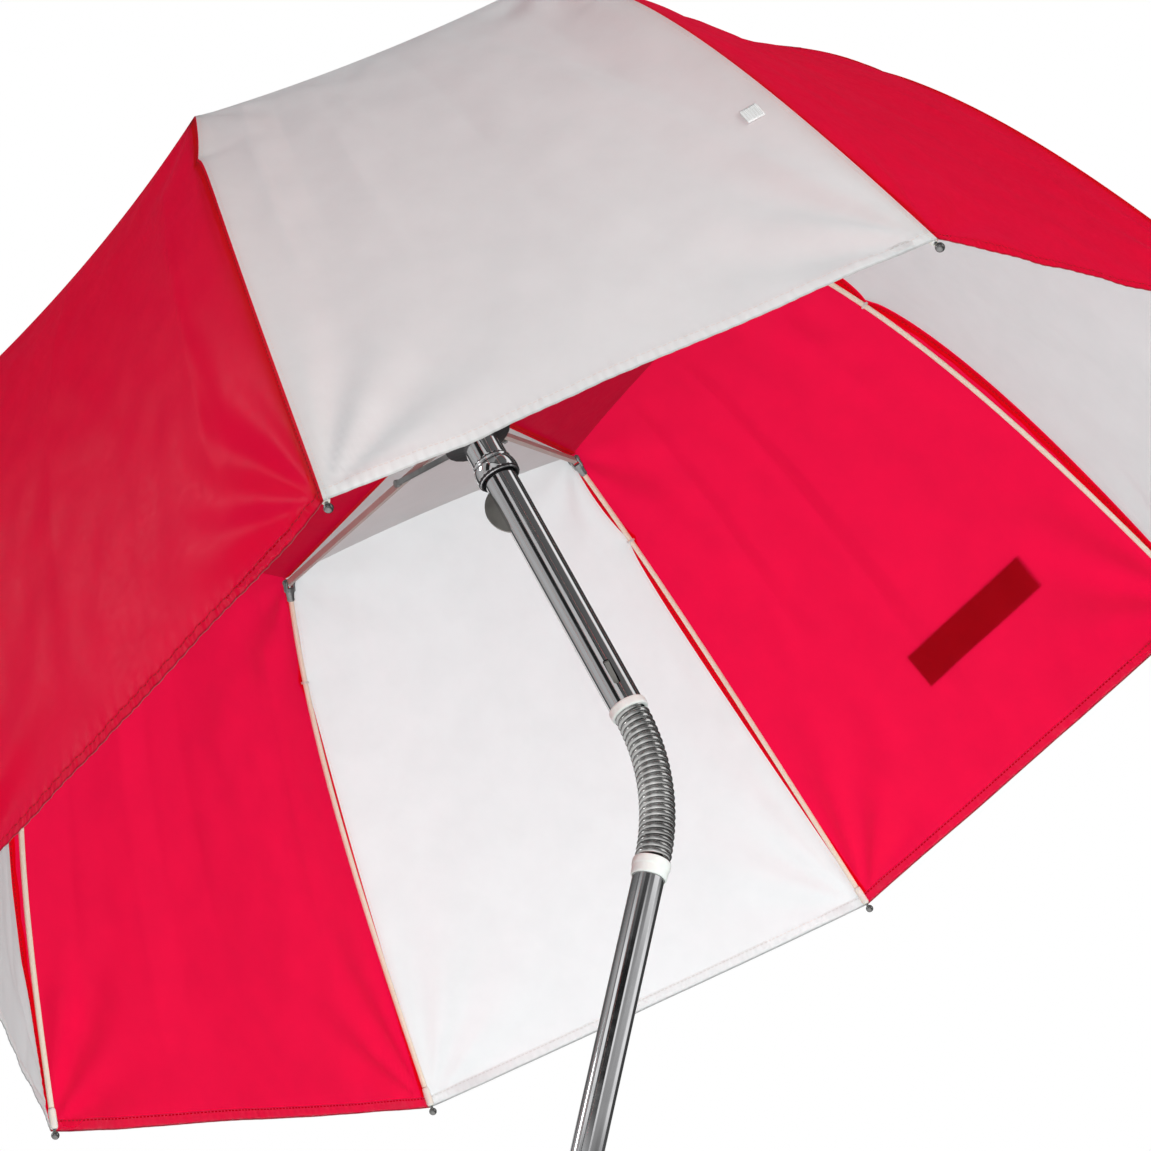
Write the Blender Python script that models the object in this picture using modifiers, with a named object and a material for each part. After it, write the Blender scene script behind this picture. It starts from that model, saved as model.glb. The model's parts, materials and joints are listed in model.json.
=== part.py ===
"""An eight-panel golf umbrella for a bag or cart, open, with a bendable neck in its shaft.

Metres, +Z up. The lower shaft stands on the Z axis with its butt at the origin. The neck above it is an arc
in the XZ plane that leans towards -X, and everything above the neck is built in the crown frame: Z along
the upper shaft, origin where the neck ends. Azimuths are about that Z axis, 0 towards -Y and +90 towards +X.
"""

import math

import bmesh
import bpy
from mathutils import Matrix, Vector

# Lower shaft, grip and butt
BUTT_RADIUS = 0.0155
BUTT_HEIGHT = 0.012
BUTT_CHAMFER = 0.002
GRIP_RADIUS = 0.0150
GRIP_TOP = 0.135
LOWER_RADIUS = 0.0095
LOWER_WALL = 0.0012
NECK_BASE = 0.620
LOWER_COLLAR_HEIGHT = 0.011
COLLAR_RADIUS = 0.0115

# Bendable neck: links that turn about hinges set at the corners of the arc's tangent polygon
NECK_ANGLE = math.radians(38)
NECK_LENGTH = 0.100
NECK_HINGES = 5
NECK_RADIUS = 0.01085
NECK_BORE = 0.0072
LINK_GAP = 0.0022

# Upper shaft, along the crown frame's Z
UPPER_RADIUS = 0.0107
UPPER_BORE = 0.0095
UPPER_COLLAR_HEIGHT = 0.0055
CROWN_Z = 0.234
CROWN_TOP = 0.243
CROWN_BOTTOM = 0.2285
CROWN_RADIUS = 0.0225
CROWN_CORE = 0.0142
ARM_PIVOT_RADIUS = 0.018

# Runner, at the top of its travel
RUNNER_BOTTOM = 0.182
RUNNER_NOTCH_Z = 0.221
RUNNER_TOP = 0.2265
RUNNER_HEAD_BOTTOM = 0.2150
RUNNER_BORE = 0.0110
RUNNER_SLEEVE = 0.0119
RUNNER_FLANGE = 0.0138
RUNNER_HEAD = 0.0222
STRETCHER_PIVOT_RADIUS = 0.017

# Spring catches
CATCH_THICKNESS = 0.0014
TOP_CATCH_LOW = 0.1450
TOP_CATCH_HIGH = 0.1760
TOP_CATCH_REACH = 0.0190
BOTTOM_CATCH_LOW = 0.0210
BOTTOM_CATCH_HIGH = 0.0335
BOTTOM_CATCH_WIDTH = 0.0032
BOTTOM_CATCH_DEPTH = 0.0045
BOTTOM_CATCH_SUNK = 0.0001
BOTTOM_SLOT_LOW = 0.0170
CATCH_CLEARANCE = 0.0004

# Canopy and frame: eight ribs, each an arm from the crown and a curved outer rib from the elbow to the tip
RIBS = 8
STEP = 2 * math.pi / RIBS
RIM_Z = -0.019
TIP_RADIUS = 0.440
ELBOW_RADIUS = 0.288
ELBOW_Z = 0.322
ARM_ATTACH = 0.087
ARM_WIDTH = 0.0036
ARM_HEIGHT = 0.0040
EYE_RADIUS = 0.0026
EYE_HOLE = 0.00115
EYE_LIP = 0.0004
STRETCHER_OFFSET = 0.0036
STRETCHER_WIDTH = 0.0024
STRETCHER_HEIGHT = 0.0034
WIRE_RADIUS = 0.0006
ROD_RADIUS = 0.0018
FORK_PLATE = 0.0012
FORK_GAP = 0.0004
FORK_LENGTH = 0.009
TIP_LENGTH = 0.009
TIP_OUTER = 0.0025
TIP_BALL = 0.0023
CLEARANCE = 0.0003

# Fabric
FABRIC = 0.0014
FABRIC_LIFT = 0.0034
ELBOW_LIFT = 0.0055
CENTRE_HOLE = 0.0100
CENTRE_Z = 0.2468
SEAM_GAP = 0.0008
CREASE_SAG = 0.008
HEM_END = 0.990
TOP_ROWS = 2
SKIRT_ROWS = 9
PANEL_COLUMNS = 4
STRAP_PANEL = 3
STRAP_SIZE = (0.110, 0.026, 0.0012)
STRAP_DOWN = 0.785
STRAP_ACROSS = -0.030
STRAP_LIFT = 0.0042

TUBE_SIDES = 24
SMALL_SIDES = 10

for old in list(bpy.data.objects):
    bpy.data.objects.remove(old, do_unlink=True)

umbrella = bpy.data.collections.new("golf_umbrella")
cutters = bpy.data.collections.new("cutters")
cutters.hide_render = True
bpy.context.scene.collection.children.link(umbrella)
bpy.context.scene.collection.children.link(cutters)


# Materials


def material(name, color, roughness, metallic=0.0):
    made = bpy.data.materials.new(name)
    made.use_nodes = True
    shader = made.node_tree.nodes["Principled BSDF"]
    shader.inputs["Base Color"].default_value = (*color, 1.0)
    shader.inputs["Roughness"].default_value = roughness
    shader.inputs["Metallic"].default_value = metallic
    made.diffuse_color = (*color, 1.0)
    return made


CHROME = material("chrome", (0.80, 0.80, 0.82), 0.12, 1.0)
STEEL = material("zinc_steel", (0.55, 0.55, 0.56), 0.35, 1.0)
IVORY = material("ivory_plastic", (0.86, 0.84, 0.78), 0.45)
BLACK = material("black_rubber", (0.03, 0.03, 0.03), 0.75)
FIBREGLASS = material("fibreglass", (0.85, 0.78, 0.62), 0.40)
WHITE_FABRIC = material("white_fabric", (0.84, 0.83, 0.82), 0.60)
RED_FABRIC = material("red_fabric", (0.60, 0.01, 0.04), 0.50)


# Shape helpers


def place(obj, name, look, matrix=None):
    """Names a finished object, gives it its material and puts it in the umbrella's collection."""
    obj.name = name
    obj.data.name = name
    obj.data.materials.clear()
    obj.data.materials.append(look)
    if matrix is not None:
        obj.matrix_world = matrix
    for holder in list(obj.users_collection):
        holder.objects.unlink(obj)
    umbrella.objects.link(obj)
    obj.data.shade_smooth()
    obj.data.set_sharp_from_angle(angle=math.radians(35))
    return obj


def copy_of(obj, name, matrix, look=None):
    """Another object that shares the mesh of obj."""
    twin = bpy.data.objects.new(name, obj.data)
    umbrella.objects.link(twin)
    twin.matrix_world = matrix
    if look is not None:
        twin.material_slots[0].link = "OBJECT"
        twin.material_slots[0].material = look
    return twin


def from_bmesh(bm, name):
    mesh = bpy.data.meshes.new(name)
    bm.to_mesh(mesh)
    bm.free()
    obj = bpy.data.objects.new(name, mesh)
    cutters.objects.link(obj)
    return obj


def block(size, centre):
    bm = bmesh.new()
    bmesh.ops.create_cube(bm, size=1.0, matrix=Matrix.LocRotScale(Vector(centre), None, Vector(size)))
    return from_bmesh(bm, "block")


def drum(radius, length, centre, turn=None, sides=SMALL_SIDES):
    """A closed cylinder along Z, or along the axis that turn maps Z to."""
    bm = bmesh.new()
    matrix = Matrix.LocRotScale(Vector(centre), turn, None)
    bmesh.ops.create_cone(
        bm, cap_ends=True, segments=sides, radius1=radius, radius2=radius, depth=length, matrix=matrix
    )
    return from_bmesh(bm, "drum")


ALONG_Y = Matrix.Rotation(math.pi / 2, 3, "X").to_euler()


def turned(profile, sides=TUBE_SIDES):
    """A closed profile of (radius, z) points, listed down its outer side, turned about Z."""
    bm = bmesh.new()
    points = [bm.verts.new((radius, 0.0, z)) for radius, z in profile]
    for first, second in zip(points, points[1:]):
        bm.edges.new((first, second))
    if profile[0][0] > 0:
        bm.edges.new((points[-1], points[0]))
    obj = from_bmesh(bm, "turned")
    screw = obj.modifiers.new("turn", "SCREW")
    screw.steps = sides
    screw.render_steps = sides
    screw.use_merge_vertices = True
    screw.merge_threshold = 0.00001
    return obj


def baked(obj):
    """The object with its modifiers made real, so that copies can share the mesh."""
    bpy.context.view_layer.update()
    graph = bpy.context.evaluated_depsgraph_get()
    mesh = bpy.data.meshes.new_from_object(obj.evaluated_get(graph))
    obj.modifiers.clear()
    obj.data = mesh
    return obj


def shaped(base, joins=(), cuts=()):
    """base with the joins added and the cuts taken away."""
    for operation, others in (("UNION", joins), ("DIFFERENCE", cuts)):
        for other in others:
            boolean = base.modifiers.new(operation.lower(), "BOOLEAN")
            boolean.operation = operation
            boolean.object = baked(other)
    baked(base)
    for other in (*joins, *cuts):
        bpy.data.objects.remove(other, do_unlink=True)
    return base


def rod(points, radius):
    """A round rod through the points, as a closed mesh."""
    curve = bpy.data.curves.new("rod", "CURVE")
    curve.dimensions = "3D"
    curve.bevel_depth = radius
    curve.bevel_resolution = 1
    curve.use_fill_caps = True
    spline = curve.splines.new("POLY")
    spline.points.add(len(points) - 1)
    for place_in, point in zip(spline.points, points):
        place_in.co = (*point, 1.0)
    guide = bpy.data.objects.new("rod_curve", curve)
    cutters.objects.link(guide)
    bpy.context.view_layer.update()
    graph = bpy.context.evaluated_depsgraph_get()
    mesh = bpy.data.meshes.new_from_object(guide.evaluated_get(graph))
    bm = bmesh.new()
    bm.from_mesh(mesh)
    bmesh.ops.remove_doubles(bm, verts=bm.verts, dist=0.00001)
    bmesh.ops.recalc_face_normals(bm, faces=bm.faces)
    bpy.data.objects.remove(guide, do_unlink=True)
    return from_bmesh(bm, "rod")


def ring_profile(inner, outer, low, high, chamfer=0.0):
    """A ring's section as (radius, z) points, down the outer side and back up the bore."""
    return [
        (inner, high),
        (outer - chamfer, high),
        (outer, high - chamfer),
        (outer, low + chamfer),
        (outer - chamfer, low),
        (inner, low),
    ] if chamfer else [(inner, high), (outer, high), (outer, low), (inner, low)]


# Frames


BEND_RADIUS = NECK_LENGTH / NECK_ANGLE


def neck_frame(angle):
    """The point of the neck's arc at this angle from its foot, with Z along the arc."""
    centre = Matrix.Translation((-BEND_RADIUS, 0, NECK_BASE))
    return centre @ Matrix.Rotation(-angle, 4, "Y") @ Matrix.Translation((BEND_RADIUS, 0, 0))


CROWN_FRAME = neck_frame(NECK_ANGLE)


def rib_frame(index, radius=0.0, z=0.0):
    """Rib index's frame: X out from the upper shaft, Y across, Z up the shaft, origin at (radius, z)."""
    azimuth = (index - 0.5) * STEP
    turn = Matrix.Rotation(azimuth - math.pi / 2, 4, "Z")
    return CROWN_FRAME @ turn @ Matrix.Translation((radius, 0, z))


def panel_frame(index):
    return CROWN_FRAME @ Matrix.Rotation(index * STEP - math.pi / 2, 4, "Z")


# Lower shaft


def build_lower_shaft():
    butt = [
        (0, BUTT_HEIGHT),
        (BUTT_RADIUS, BUTT_HEIGHT),
        (BUTT_RADIUS, BUTT_CHAMFER),
        (BUTT_RADIUS - BUTT_CHAMFER, 0),
        (0, 0),
    ]
    place(turned(butt), "butt_cap", BLACK)
    tube_low = BUTT_HEIGHT + CLEARANCE
    tube_high = NECK_BASE - 0.002
    place(
        turned(ring_profile(LOWER_RADIUS - LOWER_WALL, LOWER_RADIUS, tube_low, tube_high)),
        "lower_shaft", CHROME,
    )
    place(
        turned(ring_profile(LOWER_RADIUS + CLEARANCE, GRIP_RADIUS, tube_low, GRIP_TOP, 0.002)),
        "grip", BLACK,
    )
    collar_low = NECK_BASE - LOWER_COLLAR_HEIGHT
    place(
        turned(ring_profile(LOWER_RADIUS + CLEARANCE, COLLAR_RADIUS, collar_low, NECK_BASE, 0.0008)),
        "lower_collar", IVORY,
    )


# Neck


def build_neck():
    """Half a link on each collar and whole links between, on the tangent polygon of the arc."""
    turn = NECK_ANGLE / NECK_HINGES
    half = BEND_RADIUS * math.tan(turn / 2)
    foot = turned(ring_profile(NECK_BORE, NECK_RADIUS, CLEARANCE, half - LINK_GAP / 2, 0.0006), 16)
    place(foot, "neck_foot", STEEL, neck_frame(0))
    for index in range(1, NECK_HINGES):
        reach = half - LINK_GAP / 2
        link = turned(ring_profile(NECK_BORE, NECK_RADIUS, -reach, reach, 0.0006), 16)
        place(link, f"neck_link_{index}", STEEL, neck_frame(turn * index))
    head = turned(ring_profile(NECK_BORE, NECK_RADIUS, LINK_GAP / 2 - half, -CLEARANCE, 0.0006), 16)
    place(head, "neck_head", STEEL, CROWN_FRAME)


# Upper shaft, crown and catches


def build_upper_shaft():
    tube = turned(ring_profile(UPPER_BORE, UPPER_RADIUS, CLEARANCE, CROWN_TOP - 0.001))
    top_middle = (TOP_CATCH_LOW + TOP_CATCH_HIGH) / 2
    top_slot = block(
        (0.008, CATCH_THICKNESS + 2 * CATCH_CLEARANCE, TOP_CATCH_HIGH - TOP_CATCH_LOW + 2 * CATCH_CLEARANCE),
        (-UPPER_RADIUS, 0, top_middle),
    )
    slot_middle = (BOTTOM_SLOT_LOW + BOTTOM_CATCH_HIGH + CATCH_CLEARANCE) / 2
    slot_height = BOTTOM_CATCH_HIGH + CATCH_CLEARANCE - BOTTOM_SLOT_LOW
    bottom_slot = block(
        (BOTTOM_CATCH_WIDTH + 2 * CATCH_CLEARANCE, 0.006, slot_height), (0, -UPPER_RADIUS, slot_middle)
    )
    place(shaped(tube, cuts=(top_slot, bottom_slot)), "upper_shaft", CHROME, CROWN_FRAME)
    collar = turned(ring_profile(UPPER_RADIUS + CLEARANCE, COLLAR_RADIUS + 0.0005, 0, UPPER_COLLAR_HEIGHT, 0.0006))
    place(collar, "upper_collar", IVORY, CROWN_FRAME)


def build_catches():
    """A half-moon leaf through the tube wall under the runner, and a small flush leaf above the neck."""
    middle = (TOP_CATCH_LOW + TOP_CATCH_HIGH) / 2
    reach = TOP_CATCH_REACH - UPPER_RADIUS
    half = (TOP_CATCH_HIGH - TOP_CATCH_LOW) / 2
    arc_radius = (half * half + reach * reach) / (2 * reach)
    leaf = drum(arc_radius, CATCH_THICKNESS, (arc_radius - TOP_CATCH_REACH, 0, middle), ALONG_Y, 48)
    keep = block((TOP_CATCH_REACH, 0.01, 2 * half), (-TOP_CATCH_REACH / 2 - 0.005, 0, middle))
    trim = leaf.modifiers.new("trim", "BOOLEAN")
    trim.operation = "INTERSECT"
    trim.object = keep
    baked(leaf)
    bpy.data.objects.remove(keep, do_unlink=True)
    place(leaf, "top_catch", STEEL, CROWN_FRAME)
    low_middle = (BOTTOM_CATCH_LOW + BOTTOM_CATCH_HIGH) / 2
    nose_y = -UPPER_RADIUS + BOTTOM_CATCH_SUNK + BOTTOM_CATCH_DEPTH / 2
    nose = block(
        (BOTTOM_CATCH_WIDTH, BOTTOM_CATCH_DEPTH, BOTTOM_CATCH_HIGH - BOTTOM_CATCH_LOW), (0, nose_y, low_middle)
    )
    place(nose, "bottom_catch", STEEL, CROWN_FRAME)


def notch_cuts(width, offset, start, low, high):
    """One radial slot for each rib, in the frame of the upper shaft."""
    cuts = []
    for index in range(RIBS):
        cut = block((0.03, width, high - low), (start + 0.015, offset, (low + high) / 2))
        turn = Matrix.Rotation((index - 0.5) * STEP - math.pi / 2, 4, "Z")
        cut.data.transform(turn)
        cuts.append(cut)
    return cuts


def wire_ring(name, radius, z):
    """The wire that the pivots hang on: a ring of round section."""
    section = [
        (radius + WIRE_RADIUS * math.cos(angle), z + WIRE_RADIUS * math.sin(angle))
        for angle in (math.radians(90 - 60 * step) for step in range(6))
    ]
    place(turned(section, 32), name, STEEL, CROWN_FRAME)


def build_crown():
    groove_in = ARM_PIVOT_RADIUS - 0.0012
    groove_out = ARM_PIVOT_RADIUS + 0.0012
    hub = turned([
        (UPPER_RADIUS + CLEARANCE, CROWN_TOP),
        (CROWN_RADIUS - 0.003, CROWN_TOP),
        (CROWN_RADIUS, CROWN_TOP - 0.003),
        (CROWN_RADIUS, CROWN_BOTTOM),
        (groove_out, CROWN_BOTTOM),
        (groove_out, CROWN_Z + 0.0011),
        (groove_in, CROWN_Z + 0.0011),
        (groove_in, CROWN_BOTTOM),
        (UPPER_RADIUS + CLEARANCE, CROWN_BOTTOM),
    ])
    cuts = notch_cuts(ARM_WIDTH + 0.001, 0, CROWN_CORE, CROWN_BOTTOM - 0.01, CROWN_TOP - 0.0045)
    place(shaped(hub, cuts=cuts), "crown", BLACK, CROWN_FRAME)
    wire_ring("crown_wire", ARM_PIVOT_RADIUS, CROWN_Z)
    low = CROWN_TOP + CLEARANCE
    cap = turned([
        (0, 0.278), (0.0022, 0.2768), (0.0030, 0.2735), (0.0042, 0.262), (0.0085, 0.2575), (0.0190, 0.2560),
        (0.0190, 0.2545), (0.0088, 0.2530), (0.0088, low), (0, low),
    ])
    place(cap, "top_cap", BLACK, CROWN_FRAME)


def build_runner():
    groove_in = STRETCHER_PIVOT_RADIUS - 0.0012
    groove_out = STRETCHER_PIVOT_RADIUS + 0.0020
    body = turned([
        (RUNNER_BORE, RUNNER_TOP),
        (groove_in, RUNNER_TOP),
        (groove_in, RUNNER_NOTCH_Z - 0.0011),
        (groove_out, RUNNER_NOTCH_Z - 0.0011),
        (groove_out, RUNNER_TOP),
        (RUNNER_HEAD, RUNNER_TOP),
        (RUNNER_HEAD, RUNNER_HEAD_BOTTOM),
        (RUNNER_SLEEVE, RUNNER_HEAD_BOTTOM - 0.004),
        (RUNNER_SLEEVE, RUNNER_BOTTOM + 0.0055),
        (RUNNER_FLANGE, RUNNER_BOTTOM + 0.0038),
        (RUNNER_FLANGE, RUNNER_BOTTOM + 0.0012),
        (RUNNER_FLANGE - 0.001, RUNNER_BOTTOM),
        (RUNNER_BORE + 0.0012, RUNNER_BOTTOM),
        (RUNNER_BORE, RUNNER_BOTTOM + 0.003),
    ])
    cuts = notch_cuts(
        STRETCHER_WIDTH + 0.001, STRETCHER_OFFSET, STRETCHER_PIVOT_RADIUS - 0.0032,
        RUNNER_HEAD_BOTTOM + 0.0025, RUNNER_TOP + 0.01,
    )
    place(shaped(body, cuts=cuts), "runner", CHROME, CROWN_FRAME)
    wire_ring("runner_wire", math.hypot(STRETCHER_PIVOT_RADIUS, STRETCHER_OFFSET), RUNNER_NOTCH_Z)


# Ribs


ARM_REACH = Vector((ELBOW_RADIUS - ARM_PIVOT_RADIUS, 0, ELBOW_Z - CROWN_Z))
ARM_DIRECTION = ARM_REACH.normalized()


def bar(start, end, width, height, y=0.0):
    """A square bar in the XZ plane between two points."""
    run = end - start
    made = block((run.length, width, height), (0, 0, 0))
    slope = math.atan2(run.z, run.x)
    middle = (start + end) / 2 + Vector((0, y, 0))
    made.data.transform(Matrix.Translation(middle) @ Matrix.Rotation(-slope, 4, "Y"))
    return made


def build_arms():
    """Bars with an eye on the crown wire and an eye for the elbow pin; origin on the crown wire."""
    elbow = ARM_REACH
    made = shaped(
        bar(ARM_DIRECTION * 0.0015, elbow - ARM_DIRECTION * 0.0015, ARM_WIDTH - EYE_LIP, ARM_HEIGHT),
        joins=(
            drum(EYE_RADIUS, ARM_WIDTH, (0, 0, 0), ALONG_Y),
            drum(EYE_RADIUS, ARM_WIDTH, elbow, ALONG_Y),
        ),
        cuts=(
            drum(EYE_HOLE, 0.01, (0, 0, 0), ALONG_Y, 8),
            drum(EYE_HOLE, 0.01, elbow, ALONG_Y, 8),
        ),
    )
    place(made, "arm_1", STEEL, rib_frame(1, ARM_PIVOT_RADIUS, CROWN_Z))
    for index in range(2, RIBS + 1):
        copy_of(made, f"arm_{index}", rib_frame(index, ARM_PIVOT_RADIUS, CROWN_Z))


def build_stretchers():
    """Bars beside the arms, from the runner wire to a point along each arm; origin on the runner wire."""
    arm_point = Vector((ARM_PIVOT_RADIUS, 0, CROWN_Z)) + ARM_DIRECTION * ARM_ATTACH
    run = arm_point - Vector((STRETCHER_PIVOT_RADIUS, 0, RUNNER_NOTCH_Z))
    unit = run.normalized()
    y = STRETCHER_OFFSET
    made = shaped(
        bar(unit * 0.0015, run - unit * 0.0015, STRETCHER_WIDTH - EYE_LIP, STRETCHER_HEIGHT, y),
        joins=(
            drum(EYE_RADIUS, STRETCHER_WIDTH, (0, y, 0), ALONG_Y),
            drum(EYE_RADIUS, STRETCHER_WIDTH, run + Vector((0, y, 0)), ALONG_Y),
        ),
        cuts=(drum(EYE_HOLE + 0.0002, 0.01, (0, y, 0), ALONG_Y, 8),),
    )
    place(made, "stretcher_1", STEEL, rib_frame(1, STRETCHER_PIVOT_RADIUS, RUNNER_NOTCH_Z))
    for index in range(2, RIBS + 1):
        copy_of(made, f"stretcher_{index}", rib_frame(index, STRETCHER_PIVOT_RADIUS, RUNNER_NOTCH_Z))


def rib_point(t):
    """The outer rib's centreline in its rib plane: a cubic from the elbow (t = 0) to the tip (t = 1)."""
    elbow = Vector((ELBOW_RADIUS, 0, ELBOW_Z))
    tip = Vector((TIP_RADIUS, 0, RIM_Z))
    shoulder = elbow + Vector((0.072, 0, -0.077))
    knee = tip + Vector((-0.042, 0, 0.148))
    s = 1 - t
    return elbow * s**3 + shoulder * 3 * s * s * t + knee * 3 * s * t * t + tip * t**3


def rib_slope(t):
    return (rib_point(t + 0.001) - rib_point(t - 0.001)).normalized()


def build_outer_ribs():
    """A fibreglass rod in a steel fork; origin on the elbow pin. The rod ends inside the tip."""
    elbow = rib_point(0)
    along = rib_slope(0.001)
    start = along * FORK_LENGTH
    last = 1 - 0.011
    points = [rib_point(last * step / 9) - elbow for step in range(1, 10)]
    made = rod([start - along * 0.003, *points], ROD_RADIUS)
    plate_y = ARM_WIDTH / 2 + FORK_GAP + FORK_PLATE / 2
    width = 2 * (plate_y + FORK_PLATE / 2)
    joins = [bar(start - along * 0.0042, start + along * 0.002, width, 0.0044)]
    for side in (-plate_y, plate_y):
        joins.append(bar(Vector((0, 0, 0)), start - along * 0.003, FORK_PLATE - EYE_LIP, 0.0040, side))
        joins.append(drum(EYE_RADIUS, FORK_PLATE, (0, side, 0), ALONG_Y))
    joins.append(drum(EYE_HOLE - CLEARANCE, 2 * plate_y, (0, 0, 0), ALONG_Y, 8))
    shaped(made, joins=joins)
    place(made, "outer_rib_1", FIBREGLASS, rib_frame(1, ELBOW_RADIUS, ELBOW_Z))
    for index in range(2, RIBS + 1):
        copy_of(made, f"outer_rib_{index}", rib_frame(index, ELBOW_RADIUS, ELBOW_Z))


def build_tips():
    """A metal thimble over the end of each rod, with a ball at its point."""
    end = rib_point(1)
    slope = rib_slope(0.999)
    bore = ROD_RADIUS + CLEARANCE
    floor = 0.0015
    made = turned([
        (bore, TIP_LENGTH - 0.003),
        (TIP_OUTER, TIP_LENGTH - 0.003),
        (TIP_OUTER, 0.0),
        (0.0012, -0.0020),
        (TIP_BALL * 0.8, -0.0030),
        (TIP_BALL, -0.0043),
        (TIP_BALL * 0.8, -0.0056),
        (0, -0.0064),
        (0, floor),
        (bore, floor),
    ], 12)
    baked(made)
    made.data.transform(slope.to_track_quat("-Z", "Y").to_matrix().to_4x4())
    place(made, "tip_1", STEEL, rib_frame(1) @ Matrix.Translation(end))
    for index in range(2, RIBS + 1):
        copy_of(made, f"tip_{index}", rib_frame(index) @ Matrix.Translation(end))


# Canopy


def fabric_line():
    """The fabric's inner face above a rib, from the centre hole over the elbow to the hem, as (r, z) points."""
    centre = Vector((CENTRE_HOLE, 0, CENTRE_Z))
    elbow = rib_point(0)
    first = rib_slope(0.001)
    out = (Vector((-ARM_DIRECTION.z, 0, ARM_DIRECTION.x)) + Vector((-first.z, 0, first.x))).normalized()
    crease = elbow + out * ELBOW_LIFT
    line = [centre.lerp(crease, row / TOP_ROWS) for row in range(TOP_ROWS + 1)]
    for row in range(1, SKIRT_ROWS + 1):
        t = HEM_END * row / SKIRT_ROWS
        slope = rib_slope(t)
        lift = FABRIC_LIFT + (ELBOW_LIFT - FABRIC_LIFT) * max(0.0, 1 - 5 * t)
        line.append(rib_point(t) + Vector((-slope.z, 0, slope.x)) * lift)
    return line


def sag_at(row):
    """How far the middle of a panel lies inside the chord between its ribs."""
    if row <= TOP_ROWS:
        return CREASE_SAG * (row / TOP_ROWS) ** 2
    return CREASE_SAG * (1 - ((row - TOP_ROWS) / SKIRT_ROWS) ** 2)


def panel_point(edge, row, across):
    """A point of the panel, with X out through its middle. across runs from -1 at one rib to 1 at the next."""
    half = edge.x * math.sin(STEP / 2) - SEAM_GAP / math.cos(STEP / 2)
    out = edge.x * math.cos(STEP / 2) - sag_at(row) * (1 - across * across)
    return Vector((out, half * across, edge.z))


def build_canopy():
    """Eight gores, each a sheet from seam to seam with the fabric's thickness on its outer side."""
    bm = bmesh.new()
    grid = []
    for row, edge in enumerate(fabric_line()):
        span = [-1 + 2 * column / PANEL_COLUMNS for column in range(PANEL_COLUMNS + 1)]
        grid.append([bm.verts.new(panel_point(edge, row, across)) for across in span])
    for upper, lower in zip(grid, grid[1:]):
        for column in range(PANEL_COLUMNS):
            bm.faces.new((upper[column], lower[column], lower[column + 1], upper[column + 1]))
    sheet = from_bmesh(bm, "gore")
    solid = sheet.modifiers.new("thickness", "SOLIDIFY")
    solid.thickness = FABRIC
    solid.offset = 1.0
    solid.use_even_offset = True
    baked(sheet)
    place(sheet, "canopy_panel_1", WHITE_FABRIC, panel_frame(0))
    for index in range(2, RIBS + 1):
        look = WHITE_FABRIC if index % 2 else RED_FABRIC
        copy_of(sheet, f"canopy_panel_{index}", panel_frame(index - 1), look)


def build_tie_strap():
    """The closing strap, a webbing tab lying across the outside of a red panel, along its hem."""
    point = rib_point(STRAP_DOWN)
    slope = rib_slope(STRAP_DOWN)
    out = Vector((-slope.z, 0, slope.x))
    middle = Vector((point.x * math.cos(STEP / 2), STRAP_ACROSS, point.z)) + out * STRAP_LIFT
    strap = block(STRAP_SIZE, (0, 0, 0))
    tilt = Matrix((Vector((0, -1, 0)), slope, out)).transposed().to_4x4()
    strap.data.transform(Matrix.Translation(middle) @ tilt)
    place(strap, "tie_strap", RED_FABRIC, panel_frame(STRAP_PANEL))


build_lower_shaft()
build_neck()
build_upper_shaft()
build_catches()
build_crown()
build_runner()
build_arms()
build_stretchers()
build_outer_ribs()
build_tips()
build_canopy()
build_tie_strap()
for leftover in list(cutters.objects):
    bpy.data.objects.remove(leftover, do_unlink=True)
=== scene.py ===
"""The looks of the open golf umbrella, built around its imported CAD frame. Metres, +Z up.

The crown frame has Z along the upper shaft and its origin where the bent neck ends. Azimuths are about
that Z axis, 0 towards -Y and +90 towards +X. Rib i is at azimuth 45 (i - 0.5) degrees, and panel p, from 0,
lies between ribs p and p + 1.
"""

import json
import math
import random

import bpy
import numpy as np
from mathutils import Matrix, Vector, noise

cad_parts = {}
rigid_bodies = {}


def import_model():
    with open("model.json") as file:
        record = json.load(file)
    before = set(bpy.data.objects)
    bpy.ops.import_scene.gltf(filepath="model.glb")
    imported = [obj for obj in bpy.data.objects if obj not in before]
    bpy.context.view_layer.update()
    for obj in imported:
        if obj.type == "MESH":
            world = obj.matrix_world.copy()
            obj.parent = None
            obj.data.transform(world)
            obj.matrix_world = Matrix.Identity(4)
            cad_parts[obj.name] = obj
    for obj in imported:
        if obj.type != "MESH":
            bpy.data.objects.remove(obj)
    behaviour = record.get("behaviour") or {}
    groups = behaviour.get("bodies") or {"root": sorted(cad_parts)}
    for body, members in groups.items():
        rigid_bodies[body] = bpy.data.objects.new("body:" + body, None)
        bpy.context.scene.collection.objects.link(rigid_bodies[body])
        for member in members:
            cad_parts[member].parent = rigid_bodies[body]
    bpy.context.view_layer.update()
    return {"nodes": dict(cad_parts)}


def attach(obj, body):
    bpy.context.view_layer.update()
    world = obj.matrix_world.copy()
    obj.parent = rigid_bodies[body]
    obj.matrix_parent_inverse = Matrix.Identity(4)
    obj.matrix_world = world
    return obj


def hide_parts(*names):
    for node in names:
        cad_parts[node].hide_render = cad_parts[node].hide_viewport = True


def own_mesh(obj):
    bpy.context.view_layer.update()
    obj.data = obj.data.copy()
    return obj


for old in list(bpy.data.objects):
    bpy.data.objects.remove(old, do_unlink=True)
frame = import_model()
NODES = frame["nodes"]

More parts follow.
